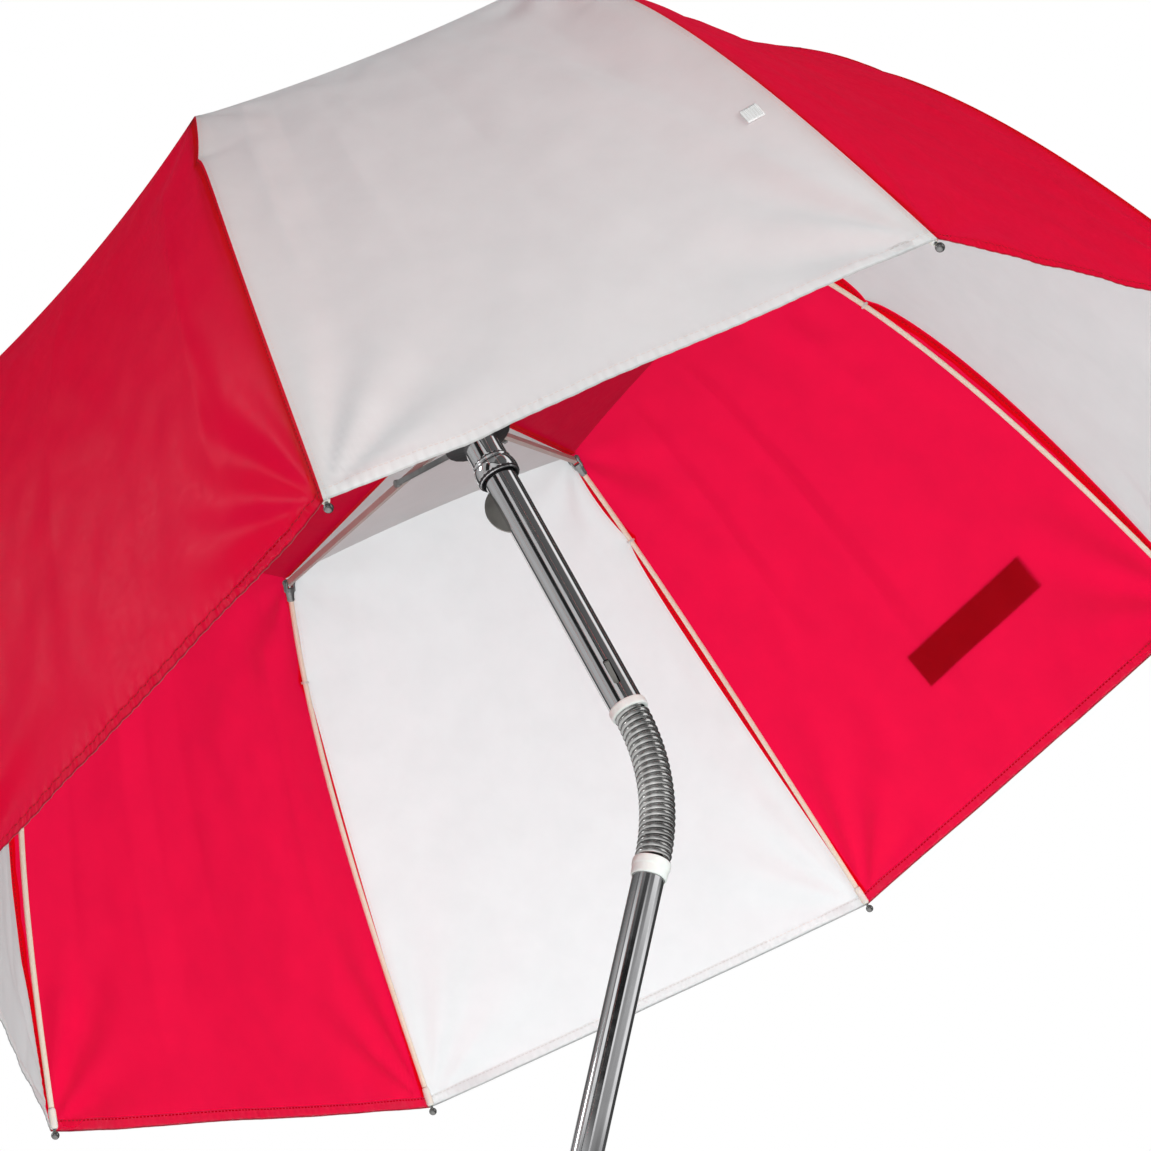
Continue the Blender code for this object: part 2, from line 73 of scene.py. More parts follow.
# Camera, at the photograph's viewing angle
CAMERA_PLACE = (0.1934, -1.9135, -0.2412)
CAMERA_AZIMUTH = 8.25
CAMERA_ELEVATION = 28.27
CAMERA_ROLL = 13.78
CAMERA_LENS = 112.6
CAMERA_SENSOR = 36.0
FLOOR_Z = -0.95
FLOOR_HALF = 5

# The frame's sizes, as the CAD has them
NECK_BASE = 0.62
NECK_ANGLE = math.radians(38)
NECK_LENGTH = 0.1
NECK_RADIUS = 0.01085
NECK_HINGES = 5
LOWER_RADIUS = 0.0095
UPPER_RADIUS = 0.0107
COLLAR_RADIUS = 0.0115
CROWN_Z = 0.234
CROWN_TOP = 0.243
ARM_PIVOT_RADIUS = 0.018
RUNNER_BOTTOM = 0.182
RUNNER_SLEEVE = 0.0119
RUNNER_HEAD_BOTTOM = 0.215
RIM_Z = -0.019
TIP_RADIUS = 0.44
ELBOW_RADIUS = 0.288
ELBOW_Z = 0.322
ROD_RADIUS = 0.0018
FORK_LENGTH = 0.009
ARM_WIDTH = 0.0036
BALL_RADIUS = 0.0026
TUBE_WALL = 0.0012
COIL_TURNS = 25
COIL_WIRE = 0.00178
RIBS = 8
STEP = 2 * math.pi / RIBS
HALF_STEP = STEP / 2

# Cloth
CENTRE_HOLE = 0.01
CENTRE_Z = 0.2475
CREASE_LIFT = 0.005
SEAM_LIFT = 0.0036
SEAM_BULGE = 0.0042
SEAM_BOW = 0.0068
MIDDLE_LIFT = 0.0055
HEM_LIFT = 0.003
CREASE_SAG = 0.008
BROAD_SWELL = 0.0026
FINE_SWELL = 0.001
TOP_SWELL = 0.0012
CORNER_FOLD = 0.0022
HEM_PUCKER = 0.0003
NEAR_PUCKER = 0.0007
SEAM_CALM = 0.012
SKIRT_HALF_WIDTH = 0.15
HEM_MIDDLE = 1.004
HEM_CORNER = 1.002
HEM_FOLD = 0.0075
ALLOWANCE = 0.0052
ALLOWANCE_DROP = 0.0007
TIE_AT = 0.22
THREAD_RADIUS = 0.00038
THREAD_SWING = 0.0025
PATCH_THICKNESS = 0.001
SKIRT_LENGTH = 0.4
PANEL_HALF_COLUMNS = 54
TOP_ROWS = 30
SKIRT_ROWS = 84

# Weave and stitching
WARP_PITCH = 0.00062
WEFT_PITCH = 0.0007
STITCH_PITCH = 0.003
PLEAT_PITCH = 0.0058
SEAM_STITCHES = 0.0022
HEM_STITCHES = 0.0064


# Frames

BEND_RADIUS = NECK_LENGTH / NECK_ANGLE


def neck_frame(angle):
    """The point of the neck's arc at this angle from its foot, with Z along the arc."""
    centre = Matrix.Translation((-BEND_RADIUS, 0, NECK_BASE))
    return centre @ Matrix.Rotation(-angle, 4, "Y") @ Matrix.Translation((BEND_RADIUS, 0, 0))


CROWN_FRAME = neck_frame(NECK_ANGLE)
GROUND_FRAME = Matrix.Identity(4)


def rib_frame(index):
    return CROWN_FRAME @ Matrix.Rotation((index - 0.5) * STEP - math.pi / 2, 4, "Z")


def panel_frame(index):
    return CROWN_FRAME @ Matrix.Rotation(index * STEP - math.pi / 2, 4, "Z")


# Materials


class Nodes:
    """Short names for the shader nodes that the materials are made of."""

    def __init__(self, name):
        self.material = bpy.data.materials.new(name)
        self.material.use_nodes = True
        self.tree = self.material.node_tree
        self.shader = self.tree.nodes["Principled BSDF"]
        self.out = self.tree.nodes["Material Output"]

    def add(self, kind, **values):
        made = self.tree.nodes.new(kind)
        for key, value in values.items():
            setattr(made, key, value)
        return made

    def link(self, source, target):
        self.tree.links.new(source, target)

    def fill(self, target, value):
        """A socket's value, or the link that drives it."""
        if isinstance(value, bpy.types.NodeSocket):
            self.link(value, target)
        else:
            target.default_value = value

    def math(self, operation, first, second=0.0):
        made = self.add("ShaderNodeMath", operation=operation)
        self.fill(made.inputs[0], first)
        self.fill(made.inputs[1], second)
        return made.outputs[0]

    def times(self, first, second):
        return self.math("MULTIPLY", first, second)

    def gap(self, first, second):
        """The distance between two values."""
        return self.math("ABSOLUTE", self.math("SUBTRACT", first, second))

    def ripple(self, value, pitch):
        """A sine wave, one turn for each pitch."""
        return self.math("SINE", self.times(value, 2 * math.pi / pitch))

    def coords(self, kind="Object"):
        return self.add("ShaderNodeTexCoord").outputs[kind]

    def uv(self, layer):
        made = self.add("ShaderNodeUVMap", uv_map=layer)
        split = self.add("ShaderNodeSeparateXYZ")
        self.link(made.outputs[0], split.inputs[0])
        return split.outputs[0], split.outputs[1], made.outputs[0]

    def scaled(self, vector, scale):
        made = self.add("ShaderNodeMapping")
        self.link(vector, made.inputs["Vector"])
        made.inputs["Scale"].default_value = scale
        return made.outputs[0]

    def noise(self, vector, scale, detail=3.0, roughness=0.5):
        made = self.add("ShaderNodeTexNoise")
        self.link(vector, made.inputs["Vector"])
        made.inputs["Scale"].default_value = scale
        made.inputs["Detail"].default_value = detail
        made.inputs["Roughness"].default_value = roughness
        return made.outputs["Fac"]

    def spread(self, value, low, high, to_low=0.0, to_high=1.0):
        made = self.add("ShaderNodeMapRange")
        self.fill(made.inputs["Value"], value)
        for key, number in zip(("From Min", "From Max", "To Min", "To Max"), (low, high, to_low, to_high)):
            made.inputs[key].default_value = number
        return made.outputs[0]

    def mix(self, share, first, second):
        made = self.add("ShaderNodeMix", data_type="RGBA")
        self.fill(made.inputs["Factor"], share)
        for socket, value in ((made.inputs[6], first), (made.inputs[7], second)):
            self.fill(socket, value if isinstance(value, bpy.types.NodeSocket) else (*value, 1.0))
        return made.outputs[2]

    def bump(self, height, strength, distance, normal=None):
        made = self.add("ShaderNodeBump")
        made.inputs["Strength"].default_value = strength
        made.inputs["Distance"].default_value = distance
        self.fill(made.inputs["Height"], height)
        if normal is not None:
            self.link(normal, made.inputs["Normal"])
        return made.outputs[0]

    def finish(self, color, roughness, normal=None, **constants):
        """Sets the Principled shader. Constants are set on its own sockets."""
        self.link(color, self.shader.inputs["Base Color"])
        self.fill(self.shader.inputs["Roughness"], roughness)
        for key, value in constants.items():
            self.shader.inputs[key.replace("_", " ")].default_value = value
        if normal is not None:
            self.link(normal, self.shader.inputs["Normal"])
        return self.material


def chrome(name, streak, worn=0.5):
    """Bright plated tube: faint draw lines along it, smudges and fine dust."""
    n = Nodes(name)
    place = n.coords()
    lines = n.noise(n.scaled(place, streak), 1.0, 4.0, 0.6)
    smudge = n.noise(place, 38.0, 5.0, 0.62)
    dust = n.noise(place, 900.0, 2.0, 0.7)
    rough = n.spread(smudge, 0.42, 0.72, 0.055, 0.055 + 0.16 * worn)
    rough = n.math("ADD", rough, n.spread(dust, 0.68, 0.8, 0.0, 0.12))
    color = n.mix(n.spread(lines, 0.35, 0.7), (0.8, 0.8, 0.815), (0.69, 0.69, 0.7))
    normal = n.bump(lines, 0.05, 0.0002)
    return n.finish(color, rough, normal, Metallic=1.0)


def steel(name, color, low, high, grain=260.0, bump=0.25):
    """Bare or zinc-coated steel, mottled, darker where it has dulled."""
    n = Nodes(name)
    place = n.coords()
    mottle = n.noise(place, grain, 4.0, 0.6)
    patch = n.noise(place, grain / 6, 3.0, 0.55)
    dark = tuple(value * 0.62 for value in color)
    tint = n.mix(n.spread(patch, 0.38, 0.7), color, dark)
    rough = n.spread(mottle, 0.3, 0.7, low, high)
    normal = n.bump(mottle, bump, 0.00008)
    return n.finish(tint, rough, normal, Metallic=1.0)


def plastic(name, color, roughness, grain=420.0, subsurface=0.0, bump=0.3):
    """Moulded plastic with a fine spark grain, slightly uneven in colour and gloss."""
    n = Nodes(name)
    place = n.coords()
    spark = n.noise(place, grain * 4, 2.0, 0.6)
    cloud = n.noise(place, grain / 8, 4.0, 0.6)
    dark = tuple(value * 0.86 for value in color)
    tint = n.mix(n.spread(cloud, 0.35, 0.75), color, dark)
    rough = n.spread(cloud, 0.3, 0.7, roughness - 0.06, roughness + 0.1)
    normal = n.bump(spark, bump, 0.00006)
    return n.finish(
        tint, rough, normal,
        Subsurface_Weight=subsurface, Subsurface_Scale=0.004, Subsurface_Radius=(1.0, 0.8, 0.6),
    )


def rubber(name):
    """Matte grip rubber: pebbled, greyed in patches by dust."""
    n = Nodes(name)
    place = n.coords()
    pebble = n.noise(place, 700.0, 3.0, 0.55)
    dust = n.noise(place, 60.0, 5.0, 0.65)
    tint = n.mix(n.spread(dust, 0.45, 0.8), (0.016, 0.016, 0.017), (0.045, 0.044, 0.042))
    return n.finish(tint, n.spread(pebble, 0.3, 0.7, 0.55, 0.8), n.bump(pebble, 0.5, 0.0002))


def glass_fibre(name):
    """Cream fibreglass rod: fine fibres along it and a thin resin gloss."""
    n = Nodes(name)
    place = n.coords()
    fibre = n.noise(n.scaled(place, (1500.0, 1500.0, 260.0)), 1.0, 3.0, 0.6)
    cloud = n.noise(place, 24.0, 3.0, 0.5)
    tint = n.mix(n.spread(fibre, 0.3, 0.75), (0.9, 0.84, 0.7), (0.8, 0.7, 0.52))
    tint = n.mix(n.spread(cloud, 0.4, 0.75, 0.0, 0.35), tint, (0.93, 0.9, 0.82))
    rough = n.spread(cloud, 0.3, 0.7, 0.24, 0.4)
    return n.finish(tint, rough, n.bump(fibre, 0.15, 0.0001), Coat_Weight=0.25, Coat_Roughness=0.2)


def cloth(name, face, deep, hem_painted_light, through, roughness, gloss, stitch, share):
    """Coated pongee. UV layer cloth is metres across and up from the hem; layer edge is metres from the seam
    and from the hem, below zero on the layer that is folded in. face and deep are its two tones,
    hem_painted_light is its tone where it is double: painted light, brighter on the white cloth for the light
    that the second layer sends back;
    through is the colour of light through it and share is how much passes."""
    n = Nodes(name)
    across, up, flat = n.uv("cloth")
    seam, edge, _ = n.uv("edge")
    hem = n.math("ABSOLUTE", edge)
    place = n.coords()
    crimp = n.noise(place, 34.0, 5.0, 0.58)
    fine = n.noise(place, 210.0, 3.0, 0.6)
    slub = n.noise(n.scaled(flat, (90.0, 2400.0, 1.0)), 1.0, 2.0, 0.5)
    weave = n.spread(n.times(n.ripple(across, WARP_PITCH), n.ripple(up, WEFT_PITCH)), -1.0, 1.0)
    # Two rows of stitches: one beside each seam and one that holds the hem
    rows, gaps = [], []
    for border, offset, along in ((seam, SEAM_STITCHES, up), (hem, HEM_STITCHES, across)):
        gaps.append(n.gap(border, offset))
        line = n.spread(gaps[-1], 0.00025, 0.0005, 1.0, 0.0)
        rows.append(n.times(line, n.spread(n.ripple(along, STITCH_PITCH), -0.55, -0.3)))
    threads = n.math("MAXIMUM", *rows)
    groove = n.spread(n.math("MINIMUM", *gaps), 0.0, 0.0011)
    # The stitching gathers the hem into small pleats
    turn = n.math("ADD", n.times(across, 2 * math.pi / PLEAT_PITCH), n.times(crimp, 9.0))
    pleat = n.times(n.math("SINE", turn), n.spread(hem, 0.0, 0.012, 1.0, 0.0))
    tone = n.mix(n.spread(crimp, 0.36, 0.68), face, deep)
    tone = n.mix(n.times(slub, 0.16), tone, deep)
    # Painted shade along the rows of stitches: the tone darkens towards deep in their grooves
    tone = n.mix(n.times(n.math("SUBTRACT", 1.0, groove), 0.28), tone, deep)
    # Painted light: where the cloth is double its tone turns to the hem tone, brighter on the white cloth,
    # for what the second layer sends back
    tone = n.mix(n.spread(hem, 0.0068, 0.0076, 1.0, 0.0), tone, hem_painted_light)
    tone = n.mix(threads, tone, stitch)
    rough = n.spread(fine, 0.3, 0.7, roughness - 0.05, roughness + 0.07)
    normal = None
    for height, strength, distance in (
        (weave, 0.1, 0.00006), (fine, 0.16, 0.00018), (crimp, 0.22, 0.0011), (groove, 0.35, 0.0004),
        (pleat, 0.45, 0.0005), (threads, 0.5, 0.0003),
    ):
        normal = n.bump(height, strength, distance, normal)
    n.finish(tone, rough, normal, Specular_IOR_Level=gloss)
    glow = n.add("ShaderNodeBsdfTranslucent")
    shade = n.mix(n.spread(crimp, 0.3, 0.72, 0.0, 0.45), through, tuple(value * 0.93 for value in through))
    folded = n.spread(edge, -0.0002, 0.0, 1.0, 0.0)
    shade = n.mix(folded, shade, (0.96, 0.96, 0.96))
    # Painted shade: the light through the cloth darkens to a thin line where the cloth turns over
    shade = n.mix(n.spread(hem, 0.0003, 0.0012, 0.45, 0.0), shade, (0.0, 0.0, 0.0))
    n.link(n.mix(threads, shade, stitch), glow.inputs["Color"])
    n.link(normal, glow.inputs["Normal"])
    both = n.add("ShaderNodeMixShader")
    n.fill(both.inputs[0], n.spread(folded, 0.0, 1.0, share, 0.88))
    n.link(n.shader.outputs[0], both.inputs[1])
    n.link(glow.outputs[0], both.inputs[2])
    n.link(both.outputs[0], n.out.inputs["Surface"])
    return n.material


def webbing(name, dark, light):
    """Woven polyester tape: a herringbone of coarse threads."""
    n = Nodes(name)
    across, up, _ = n.uv("cloth")
    slant = n.times(n.math("ABSOLUTE", n.math("SINE", n.times(across, 420.0))), 0.004)
    ridge = n.spread(n.ripple(across, 0.0016), -1.0, 1.0)
    pick = n.spread(n.ripple(n.math("ADD", up, slant), 0.0012), -1.0, 1.0)
    weave = n.times(ridge, pick)
    return n.finish(n.mix(weave, dark, light), 0.72, n.bump(weave, 0.7, 0.0004), Sheen_Weight=0.2)


CHROME_LOWER = chrome("chrome_lower_tube", (420.0, 420.0, 6.0))
CHROME_UPPER = chrome("chrome_upper_tube", (420.0, 420.0, 6.0), 0.7)
CHROME_RUNNER = chrome("chrome_runner", (300.0, 300.0, 12.0), 0.4)
COIL = steel("coil_wire", (0.72, 0.72, 0.71), 0.12, 0.26, 300.0, 0.1)
# Near-black liner under the neck's coil: painted shade for the gaps between the turns
COIL_GAP_SHADE = steel("coil_liner_painted_shade", (0.1, 0.1, 0.1), 0.5, 0.7)
LEAF = steel("spring_leaf", (0.5, 0.49, 0.46), 0.32, 0.5)
PIVOT = steel("pivot_steel", (0.46, 0.46, 0.46), 0.28, 0.46)
TIP_METAL = steel("tip_metal", (0.42, 0.42, 0.41), 0.14, 0.3, 400.0, 0.1)
ROD = glass_fibre("rib_rod")
ARM = plastic("arm_bar", (0.5, 0.48, 0.44), 0.42, 300.0, 0.0, 0.1)
COLLAR = plastic("collar_plastic", (0.8, 0.87, 0.83), 0.36, 300.0, 0.08, 0.15)
HUB = plastic("hub_plastic", (0.02, 0.02, 0.022), 0.42)
LINING = plastic("runner_lining", (0.012, 0.012, 0.012), 0.6)
CAP = plastic("cap_plastic", (0.018, 0.018, 0.019), 0.34)
GRIP = rubber("grip_rubber")
SLEEVE = plastic("tip_sleeve", (0.82, 0.81, 0.74), 0.3, 300.0, 0.4, 0.1)
WEBBING = webbing("strap_webbing", (0.13, 0.004, 0.012), (0.3, 0.008, 0.022))
PATCH = webbing("hook_tape", (0.8, 0.8, 0.79), (0.93, 0.93, 0.92))
WHITE = cloth(
    "white_pongee", (0.8, 0.825, 0.81), (0.76, 0.785, 0.77), (0.88, 0.9, 0.88), (0.86, 0.93, 0.96),
    0.5, 0.25, (0.84, 0.83, 0.81), 0.48,
)
RED = cloth(
    "red_pongee", (0.76, 0.001, 0.014), (0.66, 0.0008, 0.011), (0.74, 0.0012, 0.015), (1.0, 0.007, 0.08),
    0.34, 0.12, (0.55, 0.02, 0.04), 0.66,
)
INK = {"white": (WHITE, "white_fabric"), "red": (RED, "red_fabric")}


# Mesh helpers


def linked(name, data):
    """A new object in the scene."""
    obj = bpy.data.objects.new(name, data)
    bpy.context.scene.collection.objects.link(obj)
    return obj


def turns(sides):
    return [2 * math.pi * side / sides for side in range(sides)]


def add_object(name, verts, faces, looks, body, matrix=None, angle=38.0):
    """A mesh object from points and faces, given its materials and body. looks is a material, or pairs
    of (material, number of faces) in face order. Edges sharper than angle stay sharp."""
    mesh = bpy.data.meshes.new(name)
    mesh.from_pydata([tuple(v) for v in verts], [], [tuple(f) for f in faces])
    obj = linked(name, mesh)
    if isinstance(looks, bpy.types.Material):
        looks = [(looks, len(faces))]
    shares = []
    for place, (look, count) in enumerate(looks):
        mesh.materials.append(look)
        shares += [place] * count
    mesh.polygons.foreach_set("material_index", shares)
    mesh.shade_smooth()
    if angle is not None:
        mesh.set_sharp_from_angle(angle=math.radians(angle))
    if matrix is not None:
        obj.matrix_world = matrix
    mesh.update()
    return settle(obj, body)


def settle(obj, body):
    """Gives a piece its body."""
    if body is not None:
        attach(obj, body)
    return obj


def rounded(profile, radius, steps=4):
    """The closed profile with each corner off its axis replaced by a small curve."""
    points = [Vector(p) for p in profile]
    count = len(points)
    out = []
    for index, point in enumerate(points):
        before, after = points[index - 1], points[(index + 1) % count]
        if point.x < 1e-6:
            out.append(point)
            continue
        reach_in = min(radius, (before - point).length * 0.45)
        reach_out = min(radius, (after - point).length * 0.45)
        start = point + (before - point).normalized() * reach_in
        end = point + (after - point).normalized() * reach_out
        for step in range(steps + 1):
            t = step / steps
            out.append(start.lerp(point, t).lerp(point.lerp(end, t), t))
    return [(p.x, p.y) for p in out]


def lathe(profile, sides=96):
    """Points and faces of a closed (radius, z) profile, listed down its outer side, turned about Z."""
    verts, faces, rings = [], [], []
    for radius, z in profile:
        if radius < 1e-7:
            rings.append([len(verts)] * sides)
            verts.append((0, 0, z))
            continue
        first = len(verts)
        verts += [(radius * math.cos(turn), radius * math.sin(turn), z) for turn in turns(sides)]
        rings.append(list(range(first, first + sides)))
    pairs = list(zip(rings, rings[1:]))
    if profile[0][0] > 1e-7:
        pairs.append((rings[-1], rings[0]))
    for upper, lower in pairs:
        for side in range(sides):
            after = (side + 1) % sides
            face = [upper[side], lower[side], lower[after], upper[after]]
            face = [v for place, v in enumerate(face) if v != face[place - 1]]
            if len(face) > 2:
                faces.append(face)
    return verts, faces


def lathed(name, profile, look, body, matrix, replaces=(), sides=96, soft=0.0005, angle=38.0):
    verts, faces = lathe(rounded(profile, soft), sides)
    obj = add_object(name, verts, faces, look, body, matrix=matrix, angle=angle)
    if replaces:
        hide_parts(*replaces)
    return obj


def tube_faces(first, rings, sides, turned=False):
    """The faces of a capped tube whose rings of points follow each other from index first. turned makes them
    face the other way."""
    faces = []
    last = first + (rings - 1) * sides
    for low in range(first, last, sides):
        high = low + sides
        for side in range(sides):
            after = (side + 1) % sides
            if turned:
                faces.append((low + side, high + side, high + after, low + after))
            else:
                faces.append((low + side, low + after, high + after, high + side))
    start, end = range(first, first + sides), range(last, last + sides)
    return faces + ([tuple(start), tuple(reversed(end))] if turned else [tuple(reversed(start)), tuple(end)])


def sweep(path, radius, sides):
    """Points and faces of a tube along a path of Vectors."""
    verts = []
    side_way = None
    for index, point in enumerate(path):
        after = path[min(index + 1, len(path) - 1)]
        before = path[max(index - 1, 0)]
        along = (after - before).normalized()
        if side_way is None:
            side_way = along.orthogonal().normalized()
        side_way = (side_way - along * side_way.dot(along)).normalized()
        other = along.cross(side_way)
        for turn in turns(sides):
            verts.append(point + (side_way * math.cos(turn) + other * math.sin(turn)) * radius)
    return verts, tube_faces(0, len(path), sides)


def grid_faces(rows, columns):
    firsts = (row * columns + column for row in range(rows - 1) for column in range(columns - 1))
    return [(first, first + columns, first + columns + 1, first + 1) for first in firsts]


def add_uv(mesh, name, values):
    """A UV layer from a pair of values for each vertex."""
    order = np.zeros(len(mesh.loops), int)
    mesh.loops.foreach_get("vertex_index", order)
    mesh.uv_layers.new(name=name).data.foreach_set("uv", values.reshape(-1, 2)[order].ravel())


def moved(grid, matrix):
    world = np.array(matrix)
    return grid @ world[:3, :3].T + world[:3, 3]


# Ribs in their own plane


def rib_point(t):
    """The outer rib's centreline in its rib plane: a cubic from the elbow (t = 0) to the tip (t = 1)."""
    elbow = Vector((ELBOW_RADIUS, 0, ELBOW_Z))
    tip = Vector((TIP_RADIUS, 0, RIM_Z))
    shoulder = elbow + Vector((0.072, 0, -0.077))
    knee = tip + Vector((-0.042, 0, 0.148))
    s = 1 - t
    return elbow * s**3 + shoulder * 3 * s * s * t + knee * 3 * s * t * t + tip * t**3


def rib_slope(t):
    return (rib_point(t + 0.001) - rib_point(t - 0.001)).normalized()


def rib_out(t):
    slope = rib_slope(t)
    return Vector((-slope.z, 0, slope.x))


ARM_DIRECTION = Vector((ELBOW_RADIUS - ARM_PIVOT_RADIUS, 0, ELBOW_Z - CROWN_Z)).normalized()


# Cloth


def hem_at(across):
    """How far down the rib's curve the hem lies: the corners reach down to the tips."""
    return HEM_MIDDLE + (HEM_CORNER - HEM_MIDDLE) * abs(across) ** 5


def eased(t, elbow, middle, hem):
    """A height that is elbow at t = 0, middle between and hem at t = 1."""
    height = middle + (elbow - middle) * max(0.0, 1 - 6 * t)
    return height + (hem - middle) * max(0.0, (t - 0.75) / 0.25) ** 2


def slack(t):
    """How free the seam is of the rod: 0 where it is held, at the elbow, the tie and the tip, 1 between."""
    if t <= 0 or t >= 1:
        return 0.0
    if t < TIE_AT:
        return 0.75 * math.sin(math.pi * t / TIE_AT) ** 0.6
    return math.sin(math.pi * ((t - TIE_AT) / (1 - TIE_AT)) ** 0.6) ** 0.7


def seam_stand(t):
    return eased(t, CREASE_LIFT, SEAM_LIFT, HEM_LIFT) + SEAM_BULGE * slack(t)


CREASE_OUT = (Vector((-ARM_DIRECTION.z, 0, ARM_DIRECTION.x)) + rib_out(0.001)).normalized()
CREASE = rib_point(0) + CREASE_OUT * CREASE_LIFT


def skirt_edge(t, weight):
    """The cloth's line above the rib at t. weight is 1 at the seam and 0 in mid panel."""
    stand = eased(t, CREASE_LIFT, MIDDLE_LIFT, HEM_LIFT)
    out = rib_out(t).lerp(CREASE_OUT, max(0.0, 1 - 8 * t)).normalized()
    return rib_point(t) + out * (seam_stand(t) * weight + stand * (1 - weight))


def top_edge(share):
    centre = Vector((CENTRE_HOLE, 0, CENTRE_Z))
    return centre.lerp(CREASE, share)


def panel_point(edge, sag, across, bow=0.0):
    """A point of a panel in its own frame, X out through its middle. bow moves its seams past the ribs."""
    pushed = abs(across) ** 6 * bow
    out = edge.x * math.cos(HALF_STEP) - sag * (1 - across * across) - pushed * math.sin(HALF_STEP)
    side = edge.x * math.sin(HALF_STEP) * across + math.copysign(1.0, across) * pushed * math.cos(HALF_STEP)
    return Vector((out, side, edge.z))


def seam_bow(panel, t):
    """The white panels are cut tight, so between the ties each seam lies on the white side of its rod."""
    return SEAM_BOW * slack(t) * (1 if panel % 2 else -1)


def fold_lines(panel):
    """Creases left by folding, as (across, share, across, share, depth, width) in a skirt, with share 0 at
    the elbows' ring and 1 at the hem."""
    draw = random.Random(panel * 7 + 3)
    lines = []
    for _ in range(5):
        start = draw.uniform(-0.8, 0.8)
        lines.append((start, 0.0, start + draw.uniform(-0.14, 0.14), draw.uniform(0.5, 1.0),
                      draw.choice((-1, 1)) * draw.uniform(0.0008, 0.0018), draw.uniform(0.006, 0.016)))
    if panel == 0:
        lines += [
            (-0.74, 0.0, -0.78, 0.62, 0.0024, 0.007),
            (-0.58, 0.0, -0.62, 0.55, -0.0018, 0.01),
            (-0.36, 0.0, -0.22, 0.45, 0.0024, 0.008),
            (0.18, 0.0, 0.86, 0.86, 0.0016, 0.012),
            (0.42, 0.1, 0.93, 0.9, -0.0015, 0.012),
        ]
    if panel == 4:
        lines += [
            (-0.55, 0.15, -0.45, 1.0, 0.001, 0.012),
            (-0.3, 0.4, -0.22, 1.0, -0.0009, 0.014),
            (0.15, 0.2, 0.35, 1.0, 0.0008, 0.016),
        ]
    return lines


def crease_height(lines, across, share, half_width, length):
    """The sum of the fold lines at a point. Widths are in metres."""
    total = 0.0
    for a0, s0, a1, s1, depth, width in lines:
        start = np.array((a0 * half_width, s0 * length))
        run = np.array((a1 * half_width, s1 * length)) - start
        here = np.array((across * half_width, share * length)) - start
        along = float(here @ run) / float(run @ run)
        inside = min(1.0, max(0.0, along))
        gap = float(np.linalg.norm(here - run * inside))
        fade = math.sin(math.pi * min(1.0, max(0.0, 0.08 + 0.84 * inside))) ** 0.5
        total += depth * fade * math.exp(-gap / width)
    return total


def corner_pull(across, share, panel):
    """Radiating tension folds near the two tips and the two elbows of a skirt panel."""
    total = 0.0
    for side in (-1, 1):
        reach_across = (1 - side * across) * 0.16
        for corner, strength, number in ((1.0, 1.0, 11.0), (0.0, 0.55, 9.0)):
            down = abs(corner - share) * 0.34
            away = math.hypot(reach_across, down)
            turn = math.atan2(down, reach_across)
            ripple = math.sin(number * turn + 1.3 * panel + side)
            total += strength * CORNER_FOLD * ripple * math.exp(-((away - 0.05) / 0.055) ** 2)
    return total


def wave(place, scale, seed):
    return noise.noise(Vector(place) * scale + Vector((seed * 7.1, seed * 3.3, seed * 1.7)))


def skirt_height(panel, lines, across, share):
    """How far the cloth stands out from its smooth form."""
    seam_gap = (1 - abs(across)) * SKIRT_HALF_WIDTH
    hem_gap = (1 - share) * SKIRT_LENGTH
    calm = 1 - math.exp(-seam_gap / SEAM_CALM)
    height = crease_height(lines, across, share, 0.11 + 0.06 * share, SKIRT_LENGTH)
    height += BROAD_SWELL * wave((across * 1.3, share * 1.1, panel), 1.6, panel)
    height += FINE_SWELL * wave((across * 2.2, share * 4.0, panel), 3.0, panel + 20)
    height += corner_pull(across, share, panel)
    pucker = NEAR_PUCKER if panel == 7 else HEM_PUCKER
    ripple = math.sin(across * 105.0 + 3.0 * wave((across, 0.0, panel), 6.0, panel + 40))
    edge_ripple = pucker * ripple * math.exp(-abs(hem_gap - 0.004) / 0.006)
    return height * calm + edge_ripple * calm


def top_height(panel, across, share):
    calm = math.sin(math.pi * share) * (1 - across**4)
    return TOP_SWELL * calm * wave((across * 1.2, share * 2.0, panel), 1.8, panel + 60)


def skirt_point(panel, t, across, share):
    """A point of a skirt's smooth form, at t down the rib's curve and share of the way to the hem."""
    edge = skirt_edge(t, abs(across) ** 8)
    return panel_point(edge, CREASE_SAG * (1 - share**2), across, seam_bow(panel, t))


def panel_grid(panel, part):
    """Rows of points and outward normals over a whole panel part, from its inner end to its outer end."""
    rows, columns = (TOP_ROWS if part == "top" else SKIRT_ROWS) + 1, 2 * PANEL_HALF_COLUMNS + 1
    lines = fold_lines(panel)
    grid, height = np.zeros((rows, columns, 3)), np.zeros((rows, columns))
    for row in range(rows):
        share = row / (rows - 1)
        for column in range(columns):
            across = -1 + 2 * column / (columns - 1)
            if part == "top":
                grid[row, column] = panel_point(top_edge(share), CREASE_SAG * share**2, across)
                height[row, column] = top_height(panel, across, share)
            else:
                grid[row, column] = skirt_point(panel, share * hem_at(across), across, share)
                height[row, column] = min(1.0, share * 14) * skirt_height(panel, lines, across, share)
    grid = grid + grid_normals(grid) * height[..., None]
    place = panel_frame(panel)
    return moved(grid, place), grid_normals(grid) @ np.array(place)[:3, :3].T


def grid_normals(grid):
    """Unit normals of a grid, outward where its rows run out and down and its columns towards +azimuth."""
    down = np.gradient(grid, axis=0)
    across = np.gradient(grid, axis=1)
    normal = np.cross(down, across)
    length = np.linalg.norm(normal, axis=2, keepdims=True)
    return normal / np.maximum(length, 1e-12)


def path_lengths(points):
    steps = np.linalg.norm(np.diff(points, axis=0), axis=-1)
    return np.concatenate([np.zeros((1, *steps.shape[1:])), np.cumsum(steps, axis=0)])


